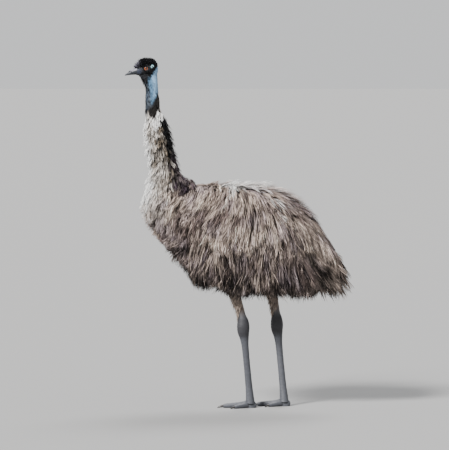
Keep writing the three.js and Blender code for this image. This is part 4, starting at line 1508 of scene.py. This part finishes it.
@dataclass
class Plumage:
    """A stretch of plumage on the neck or trunk."""

    name: str
    stations: Span
    angles: Span
    length: Span
    seed: int
    strand: Strand = LONG
    slot: Slot = Slot.PLUMAGE
    locks: int = 1040
    strands: int = 8
    layers: tuple[float, float] = (0.66, 1.08)
    # painted shade and light: how dark the deepest and how pale the outermost locks are painted
    depth_shade: tuple[float, float] = (0.3, 1.35)
    gather: float = 0.66
    stray: float = 0.09
    tilt: float = 0.17
    fray: float = 0.018
    rise: float = 0.85
    hem_length: float = 0.27
    # how strongly painted shade darkens the coat's hollows, and the share of strands that take it
    hollow_shade: float = 0.97
    broken: float = 0.42
    shades: tuple[float, float] = (0.75, 1.2)
    fleck: float = 0.35
    colour_way: float = 0.72
    # where the locks reach the hem, and where they stand off more or less
    hangs_turn: Span = (76, 96)
    hangs_from: float = 12.6
    fuller: tuple[Zone, ...] = (Zone(0.15, (60, 35), (7, 5)),)
    flatter: tuple[Zone, ...] = (
        Zone(0.4, (75, 45), (7, 8.6), (12.4, 10.9)),
        Zone(0.05, (100, 135), (7.5, 9), (12.5, 11)),
        Zone(0.7, (110, 50), (15.4, 17.2)),
    )

    def build(self, lie: Lie) -> bpy.types.Object:
        """Grows the region's locks, each a gathered bundle of strands.

        Args:
            lie: How the coat lies.

        Returns:
            The region as one mesh.
        """
        rng = np.random.default_rng(self.seed)
        u, a = TRUNK.spread(self.locks, self.stations, self.angles, self.seed)
        growing = MARKS.grows(u, a, rng.uniform(-1, 1, len(u)))
        u, a = u[growing], a[growing]
        count = len(u)
        turn = np.degrees(np.abs(a))
        length = np.interp(u, self.stations, self.length) * rng.uniform(0.75, 1.15, count)
        hangs = ease(turn + rng.normal(0, 7, count), *self.hangs_turn) * (u > self.hangs_from)
        length = length + (self.hem_length * rng.uniform(0.85, 1.05, count) - length) * hangs
        fray = rng.normal(0, self.fray, count)
        paths = lie.paths(u, a, length, fray)
        paths.keep = np.maximum(5.0, paths.keep)
        layer = rng.uniform(*self.layers, count)
        row = TRUNK.row(u)
        stand = (row[:, 6] + row[:, 4]) * layer
        for zone in self.fuller:
            stand = stand * (1 + zone.weight(u, turn))
        for zone in self.flatter:
            stand = stand * (1 - zone.weight(u, turn))
        colour = MARKS.coat(*paths.at(self.colour_way))
        # painted shade: locks that lie deeper are darker, and those that stand out paler
        shade = rng.uniform(*self.shades, count) * np.interp(layer, self.layers, self.depth_shade)
        colour = colour * (1 + (shade - 1) * self.unevenness(colour, 0.3))[:, None]
        return self.grow(rng, u, a, paths, stand, colour, lie, fray).mesh(self.name)

    def unevenness(self, colour: np.ndarray, least: float) -> np.ndarray:
        """How uneven each lock may be: whites stay even."""
        return np.clip(1.6 - colour.mean(axis=1), least, 1)

    def grow(
        self,
        rng: np.random.Generator,
        u: np.ndarray,
        a: np.ndarray,
        paths: Paths,
        stand: np.ndarray,
        colour: np.ndarray,
        lie: Lie,
        fray: np.ndarray,
    ) -> Bundle:
        """Grows the strands of all locks round their paths.

        Args:
            rng: The source of its draws.
            u: Stations of the locks.
            a: Angles of the locks.
            paths: Their paths.
            stand: How far each lock's tip stands off.
            colour: The colour of each lock.
            lie: How the coat lies.
            fray: How far above or below the hem line each lock ends.

        Returns:
            The strands.
        """
        strand, places, normals = self.strand, paths.places, paths.normals
        lock = np.repeat(np.arange(len(u)), self.strands)
        total = len(lock)
        spacing = math.sqrt(self.area() / len(u))
        angle = rng.uniform(0, 2 * math.pi, total)
        radius = spacing * 0.62 * np.sqrt(rng.uniform(0, 1, total))
        along = unit(places[1] - places[0])[lock]
        sideways = unit(np.cross(along, normals[0][lock]))
        offset = along * (radius * np.cos(angle))[:, None] + sideways * (radius * np.sin(angle))[:, None]
        loose = rng.uniform(0, 1, total) < self.stray
        gather = np.where(loose, rng.uniform(-0.35, 0.2, total), self.gather * rng.uniform(0.75, 1.15, total))
        reach = paths.keep[lock] * rng.uniform(0.76, 1.05, total)
        swirl = 0.8 * ripple(places[0], 0.12, self.seed + 40) + rng.normal(0, 1, len(u))
        tilt = self.tilt * swirl[lock] + rng.normal(0, 0.05, total)
        length = np.linalg.norm(places[-1] - places[0], axis=-1)[lock] * reach / (len(places) - 1)
        phase = rng.uniform(0, 2 * math.pi, len(u))[lock] + rng.uniform(-0.6, 0.6, total)
        pitch = rng.uniform(0.7, 1.5, total)
        lift = rng.uniform(0.86, 1.05, total)
        across_at = unit(np.cross(along, normals[0][lock]))

        def ring(way: float, reach: np.ndarray) -> tuple[np.ndarray, np.ndarray]:
            """The strands' places and normals at a share of their reach."""
            at = np.minimum(way * reach, len(places) - 1 - 1e-6)
            low = at.astype(int)
            part = (at - low)[:, None]
            place = places[low, lock] * (1 - part) + places[low + 1, lock] * part
            normal = unit(normals[low, lock] * (1 - part) + normals[low + 1, lock] * part)
            height = stand[lock] * lift * way**self.rise - 0.003 * (1 - way) ** 3
            sway = strand.wave * way * np.sin(phase + 2 * math.pi * pitch * way) + tilt * length * way**1.3
            shrink = offset * (1 - gather * way**0.8)[:, None]
            return place + shrink + normal * height[:, None] + across_at * sway[:, None], normal

        pace = length / np.maximum(reach, 1)
        for _ in range(2):
            tip, _ = ring(1.0, reach)
            over = lie.hem_at(tip[:, 0]) + fray[lock] - tip[:, 2]
            reach = np.maximum(3.0, reach - np.maximum(0, over) / pace)
        rings = [ring(way, reach) for way in strand.ways]
        centres, outward = (np.array(rows) for rows in zip(*rings))
        half = strand.width / 2 * np.array(strand.taper)[:, None] * rng.uniform(0.65, 1.35, total)[None]
        even = self.unevenness(colour, 0.25)[lock]
        fleck = (1 + rng.uniform(-self.fleck, self.fleck, total) * even)[:, None]
        # less painted root shade along the parting of the back, where the roots lie open
        crest = ease(np.degrees(np.abs(a)), 32, 12)[lock]
        tone = strand.tones()[:, None]
        tone = tone + np.maximum(0, 0.85 - tone) * crest
        broken = 1 + rng.uniform(-self.broken, self.broken, (len(rings), total)) * even
        # painted shade in the hollows and towards the hem, at each ring
        dark = 1 - self.hollow_shade * MARKS.shade(centres) * (rng.uniform(0, 1, total) < self.hollow_shade)
        tones = np.clip(colour[lock][None] * fleck[None] * (tone * dark * broken)[..., None], 0, 0.95)
        roots = np.stack([0.01 + 0.98 * u / TRUNK.last, 0.41 + 0.39 * a / math.pi], axis=-1)
        return Bundle(centres, outward, half, tones, roots[lock], strand.thick)

    def area(self) -> float:
        """The skin that the region covers, in square metres."""
        u = np.linspace(*self.stations, 100)
        row = TRUNK.row(u)
        length = np.hypot(np.gradient(row[:, 0]), np.gradient(row[:, 1]))
        full = np.sum(length * math.pi * (row[:, 2] + row[:, 3]))
        return float(full * abs(self.angles[1] - self.angles[0]) / 360)


@dataclass
class Bristles:
    """Short bristles or small feathers that grow straight from the skin's mesh.

    The heading's own length scales the length of the bristle that grows there.
    """

    name: str
    count: int
    length: tuple[float, float]
    strand: Strand
    seed: int
    slot: Slot = Slot.HEAD
    ruffle: float = 0.2
    curl: float = 0.3
    lying: float = 0.16
    sink: float = 0.001
    # the bake map: the height that parts head from legs, its span there, and its columns
    legs_top: float = 0.8
    head_span: Span = (1.3, 0.45)
    columns: tuple = (0.02, 0.36, 0.7)
    column_width: float = 0.28

    def where(self, place: np.ndarray, normal: np.ndarray) -> np.ndarray:
        """How densely they grow at each place."""
        raise NotImplementedError

    def heading(self, place: np.ndarray, normal: np.ndarray) -> np.ndarray:
        """The way in which they grow: down along the limb."""
        return np.array([0.0, 0.0, -1.0]) + normal * self.lying

    def colour(self, place: np.ndarray) -> np.ndarray:
        """Their colour: black."""
        return np.tile(Palette.black, (len(place), 1))

    def build(self, skin: bpy.types.Object) -> bpy.types.Object:
        """Grows them on the skin.

        Args:
            skin: The finished skin, before it is moved into the frame.

        Returns:
            The bristles as one mesh.
        """
        rng = np.random.default_rng(self.seed)
        place, normal = self.roots(skin, rng)
        total = len(place)
        heading = self.heading(place, normal)
        reach = np.linalg.norm(heading, axis=-1)
        heading = unit(unit(heading) + rng.normal(0, self.ruffle, (total, 3)))
        inward = np.minimum(0, np.sum(heading * normal, axis=-1) - 0.05)
        heading = unit(heading - normal * inward[:, None])
        length = np.exp(rng.uniform(*np.log(self.length), total)) * reach
        droop = unit(heading - normal * np.sum(heading * normal, axis=-1, keepdims=True) * 0.9)
        centres = []
        for way in self.strand.ways:
            turned = unit(heading * (1 - self.curl * way) + droop * self.curl * way)
            centres.append(place - normal * self.sink + turned * (length * way)[:, None])
        outward = np.repeat(normal[None], len(centres), axis=0)
        taper = np.array(self.strand.taper)[:, None] * rng.uniform(0.7, 1.3, total)[None]
        half = self.strand.width / 2 * taper
        colour = self.colour(place) * rng.uniform(0.65, 1.3, total)[:, None]
        tones = np.clip(colour[None] * self.strand.tones()[:, None, None], 0, 0.95)
        roots = self.map_places(place, normal)
        return Bundle(np.array(centres), outward, half, tones, roots, self.strand.thick).mesh(self.name)

    def map_places(self, place: np.ndarray, normal: np.ndarray) -> np.ndarray:
        """Where each one's patch lies in the bake map: head and each leg have a column."""
        turn = np.arctan2(normal[:, 1], normal[:, 0]) / (2 * math.pi) + 0.5
        _, y, z = place.T
        low, tall = self.head_span
        way = np.where(z > self.legs_top, (z - low) / tall, z / self.legs_top)
        head, left, right = self.columns
        column = np.where(z > self.legs_top, head, np.where(y < 0, left, right)) + self.column_width * way
        return np.stack([column, 0.82 + 0.16 * turn], axis=-1)

    def roots(self, skin: bpy.types.Object, rng: np.random.Generator) -> tuple[np.ndarray, np.ndarray]:
        """Draws roots over the chosen part of the skin, with their normals."""
        mesh = skin.data
        mesh.calc_loop_triangles()
        indices = np.zeros(len(mesh.loop_triangles) * 3, np.int32)
        mesh.loop_triangles.foreach_get("vertices", indices)
        corner = vertices_of(skin)[indices.reshape(-1, 3)]
        # the joined skin's triangles come in any order, so they are sorted by place
        middle = np.round(corner.mean(axis=1), 5)
        corner = corner[np.lexsort(middle.T)]
        cross = np.cross(corner[:, 1] - corner[:, 0], corner[:, 2] - corner[:, 0])
        area = np.linalg.norm(cross, axis=-1)
        normal = unit(cross)
        share = area * np.clip(self.where(corner.mean(axis=1), normal), 0, 1)
        chosen = rng.choice(len(share), self.count, p=share / share.sum())
        first, second = rng.uniform(0, 1, (2, self.count, 1))
        over = first + second > 1
        first, second = np.where(over, 1 - first, first), np.where(over, 1 - second, second)
        base = corner[chosen]
        place = base[:, 0] + first * (base[:, 1] - base[:, 0]) + second * (base[:, 2] - base[:, 0])
        return place, normal[chosen]


@dataclass
class CrownHair(Bristles):
    """Hair on the head, apart from the eyes, ears and the root of the bill."""

    name: str = "coat_crown"
    count: int = 5200
    length: tuple[float, float] = (0.011, 0.021)
    strand: Strand = Strand(
        0.0017, 0.5, (0.0, 0.45, 0.8), (0.9, 1.0, 0.6), 0.0, (0.6, 0.9, 1.3), (0.0, 0.5, 1.0)
    )
    seed: int = 21
    ruffle: float = 0.3
    face_edge: Span = (-0.004, 0.006)
    throat_edge: Span = (1.57, 1.59)
    eye_edge: Span = (0.0115, 0.0135)
    ear_edge: Span = (0.0066, 0.0086)
    bill_edge: Span = (-0.516, -0.508)
    bridge_above: Span = (1.659, 1.663)
    bridge_edge: Span = (-0.531, -0.526)
    lores_before: Span = (-0.49, -0.5)
    lores_top: Span = (1.668, 1.66)
    lores_bottom: Span = (1.634, 1.642)
    thick_above: Span = (1.67, 1.69)
    # along the head: how far hair leans back and rises, and its length
    spans: tuple = (-0.528, -0.503, -0.470, -0.440, -0.420)
    lean: tuple = (-0.6, -0.05, 0.35, 0.7, 0.8)
    rise: tuple = (0.9, 1.1, 0.75, 0.3, -0.2)
    reach: tuple = (1.15, 1.5, 1.0, 0.8, 0.45)
    crown_edge: Span = (1.678, 1.694)
    brow_before: Span = (-0.474, -0.486)
    brow_above: Span = (1.658, 1.668)
    grey_before: Span = (-0.496, -0.514)
    grey_above: Span = (1.662, 1.67)

    def where(self, place: np.ndarray, normal: np.ndarray) -> np.ndarray:
        """How densely hair grows at each place."""
        x, _, z = place.T
        eye, ear = HEAD_PLACES["eye"], HEAD_PLACES["ear"]
        head = ease(z - face_line(x), *self.face_edge) * ease(z, *self.throat_edge)
        off_eye = ease(np.hypot(x - eye[0], (z - eye[2]) * 1.25), *self.eye_edge)
        off_ear = ease(np.hypot(x - ear[0] + 0.001, (z - ear[2] - 0.001) * 0.9), *self.ear_edge)
        bridge = ease(z, *self.bridge_above) * ease(x, *self.bridge_edge)
        off_bill = np.clip(ease(x, *self.bill_edge) + 1.4 * bridge, 0, 1)
        lores = ease(x, *self.lores_before) * ease(z, *self.lores_top) * ease(z, *self.lores_bottom)
        dense = 0.55 + 0.45 * ease(z, *self.thick_above)
        return head * off_eye * off_ear * (1 - 0.5 * lores) * off_bill * dense

    def heading(self, place: np.ndarray, normal: np.ndarray) -> np.ndarray:
        """Hair stands up on the crown and brow and lies back and down on the cheeks."""
        x, _, z = place.T
        lean, rise, reach = (np.interp(x, self.spans, row) for row in (self.lean, self.rise, self.reach))
        upright = unit(normal * 0.55 + np.stack([lean, 0 * x, rise], axis=-1)) * reach[:, None]
        lying = unit(np.array([0.75, 0.0, -0.55]) + normal * 0.25) * 0.55
        crown = ease(z + 0.35 * (x + 0.47), *self.crown_edge)
        brow = ease(x, *self.brow_before) * ease(z, *self.brow_above)
        return blend(lying, upright, np.maximum(crown, brow))

    def colour(self, place: np.ndarray) -> np.ndarray:
        """Black, with grey streaks on the brow."""
        brow = ease(place[:, 0], *self.grey_before) * ease(place[:, 2], *self.grey_above)
        streak = np.clip(0.55 + 0.7 * ripple(place, 0.006, 32), 0, 0.9)
        return blend(np.tile(Palette.black, (len(place), 1)), Palette.bill_highlight_and_brow_grey, brow * streak)


@dataclass
class NeckHair(Bristles):
    """Single hairs on the bare neck, mostly on its front."""

    name: str = "coat_neck_hair"
    count: int = 3000
    length: tuple[float, float] = (0.008, 0.02)
    strand: Strand = Strand(0.0011, 0.6, (0.0, 0.5), (0.9, 0.7), 0.0, (0.8, 1.1), (0.0, 1.0))
    seed: int = 22
    front: Span = (0.1, -0.6)
    least: float = 0.25
    bottom: Span = (1.40, 1.44)
    top: Span = (1.63, 1.6)

    def where(self, place: np.ndarray, normal: np.ndarray) -> np.ndarray:
        """How densely hair grows at each place."""
        front = self.least + (1 - self.least) * ease(normal[:, 0], *self.front)
        return front * ease(place[:, 2], *self.bottom) * ease(place[:, 2], *self.top)


@dataclass
class ShankFeathers(Bristles):
    """Small feathers on the shanks, which reach lower on the front than behind."""

    name: str = "coat_shanks"
    count: int = 3600
    length: tuple[float, float] = (0.018, 0.034)
    strand: Strand = Strand(
        0.0034, 0.35, (0.0, 0.35, 0.75), (0.6, 1.0, 0.7), 0.0, (0.3, 0.9, 1.15), (0.0, 0.5, 1.0)
    )
    seed: int = 23
    slot: Slot = Slot.PLUMAGE
    ruffle: float = 0.14
    edge: float = 0.485
    front: Span = (0.2, -0.6)
    front_drop: float = 0.04
    fade: float = 0.03
    top: Span = (0.74, 0.7)
    # painted shade under the overhanging coat
    coat_shade_above: Span = (0.55, 0.6)

    def where(self, place: np.ndarray, normal: np.ndarray) -> np.ndarray:
        """How densely feathers grow at each place."""
        z = place[:, 2]
        edge = self.edge - self.front_drop * ease(normal[:, 0], *self.front)
        return ease(z, edge, edge + self.fade) * ease(z, *self.top)

    def colour(self, place: np.ndarray) -> np.ndarray:
        """Beige, with painted shade where the coat hangs over them."""
        pale = 0.3 + 0.3 * ripple(place, 0.03, 31)
        tone = blend(np.tile(Palette.shank, (len(place), 1)), Palette.beige, pale)
        return blend(tone, Palette.dark, ease(place[:, 2], *self.coat_shade_above) * 0.85)


ROUND, LEFT, RIGHT = (-180, 180), (-1, 180), (-180, 1)
REGIONS = (
    Plumage("coat_neck", (1.5, 9.3), ROUND, (0.035, 0.1), 11, SHORT, Slot.NECK_PLUMAGE),
    Plumage("coat_breast", (9.2, 12.1), ROUND, (0.085, 0.11), 12),
    Plumage("coat_flank_left", (12.0, 14.7), LEFT, (0.13, 0.17), 13),
    Plumage("coat_flank_right", (12.0, 14.7), RIGHT, (0.13, 0.17), 14),
    Plumage("coat_haunch_left", (14.6, 17.3), LEFT, (0.17, 0.19), 15),
    Plumage("coat_haunch_right", (14.6, 17.3), RIGHT, (0.17, 0.19), 16),
    Plumage("coat_rump", (17.2, 19.75), ROUND, (0.18, 0.17), 17),
)


@dataclass
class Studio:
    """Camera, floor and lights."""

    elevation: float = 4.4
    distance: float = 27.0
    frame_width: float = 2.2
    aim: tuple[float, float] = (-0.091, 0.897)
    sensor: float = 36.0
    floor_size: float = 60
    middle: tuple = (0.0, 0.0, 0.9)
    # name, place, energy, softness in degrees and tone of each light
    lights: tuple = (
        ("key", (-3.0, -3.4, 4.9), 11.0, 14, (1.0, 0.985, 0.965)),
        ("rim", (0.8, 2.4, 4.2), 3.0, 25, (1.0, 1.0, 1.0)),
    )
    sky: tuple = (0.87, 0.88, 0.89, 1)
    sky_strength: float = 0.9

    def camera(self, shift: Vector) -> None:
        """Sets the camera at the photo's angle and framing."""
        data = bpy.data.cameras.new("camera")
        data.sensor_fit = "HORIZONTAL"
        data.sensor_width = self.sensor
        data.lens = self.sensor * self.distance / self.frame_width
        data.clip_end = 200
        camera = bpy.data.objects.new("camera", data)
        bpy.context.collection.objects.link(camera)
        rise = math.radians(self.elevation)
        aim = Vector((self.aim[0], 0, self.aim[1])) + shift
        back = Vector((0, -math.cos(rise), math.sin(rise)))
        camera.location = aim + back * self.distance
        camera.rotation_euler = (-back).to_track_quat("-Z", "Y").to_euler()
        bpy.context.scene.camera = camera

    def floor(self) -> None:
        """Lays a wide pale floor."""
        deselect()
        bpy.ops.mesh.primitive_plane_add(size=self.floor_size)
        floor = bpy.context.object
        floor.name = floor.data.name = "floor"
        floor.data.materials.append(FloorFinish().material())

    def light(self, name: str, place: tuple, energy: float, softness: float, tone: tuple) -> None:
        """Adds one soft distant light, which lights the whole floor evenly."""
        data = bpy.data.lights.new(name, "SUN")
        data.angle = math.radians(softness)
        data.energy = energy
        data.color = tone
        lamp = bpy.data.objects.new(name, data)
        lamp.location = place
        lamp.rotation_euler = (Vector(self.middle) - Vector(place)).to_track_quat("-Z", "Y").to_euler()
        bpy.context.collection.objects.link(lamp)

    def build(self, shift: Vector) -> None:
        """Sets up the camera, floor, lights and surrounding light."""
        self.camera(shift)
        self.floor()
        for light in self.lights:
            self.light(*light)
        world = bpy.data.worlds.new("studio")
        bpy.context.scene.world = world
        world.use_nodes = True
        background = world.node_tree.nodes["Background"]
        background.inputs["Color"].default_value = self.sky
        background.inputs["Strength"].default_value = self.sky_strength


FLESH_NODES = (
    "head", "ear_left", "ear_right", "neck_upper", "neck_lower", "breast", "torso", "tail",
    "wing_left", "wing_right", "leg_left_shank", "leg_left_tarsus", "leg_right_shank", "leg_right_tarsus",
    *(f"toe_{side}_{toe}" for side in ("left", "right") for toe in ("inner", "middle", "outer")),
)


def corners(box: tuple[Vector, Vector]) -> list[list[float]]:
    """A box's corners as plain lists."""
    return [list(map(float, corner)) for corner in box]


def main() -> None:
    logging.basicConfig(level=logging.INFO, format="%(name)s: %(message)s")
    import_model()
    low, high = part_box("eye_left")
    x, y, _ = HEAD_PLACES["eye"]
    shift = Vector(((low.x + high.x) / 2 - x, (low.y + high.y) / 2 + y, 0))
    Studio().build(shift)
    legs = [
        Leg(Side.LEFT),
        Leg(Side.RIGHT, hock=(0.167, 0.076), foot=(0.203, 0.048), slope=0.88),
    ]
    skin = Skin().build(legs)
    hairs = [(part.build(skin), part.slot) for part in (CrownHair(), NeckHair(), ShankFeathers())]
    settle(skin, shift, SkinFinish().material())
    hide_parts(*FLESH_NODES)
    horn = PaintedHornFinish().material()
    for node, piece in Bill().build().items():
        settle(piece, shift, horn)
        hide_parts(node)
    claw_horn = HornFinish().material()
    for leg in legs:
        for toe, piece in leg.claws().items():
            settle(piece, shift, claw_horn)
            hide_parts(f"claw_{leg.word}_{toe}")
    for side in Side:
        eye = Eye(side).build()
        centre = Vector((x, side.value * y, HEAD_PLACES["eye"][2])) + shift
        settle(eye, shift, EyeFinish().material(centre))
        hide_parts(f"eye_{side.name.lower()}")
    plume = PlumeFinish().material()
    for piece, slot in hairs:
        settle(piece, shift, plume)
    lie = Lie()
    for region in REGIONS:
        settle(region.build(lie), shift, plume)


if __name__ == "__main__":
    main()
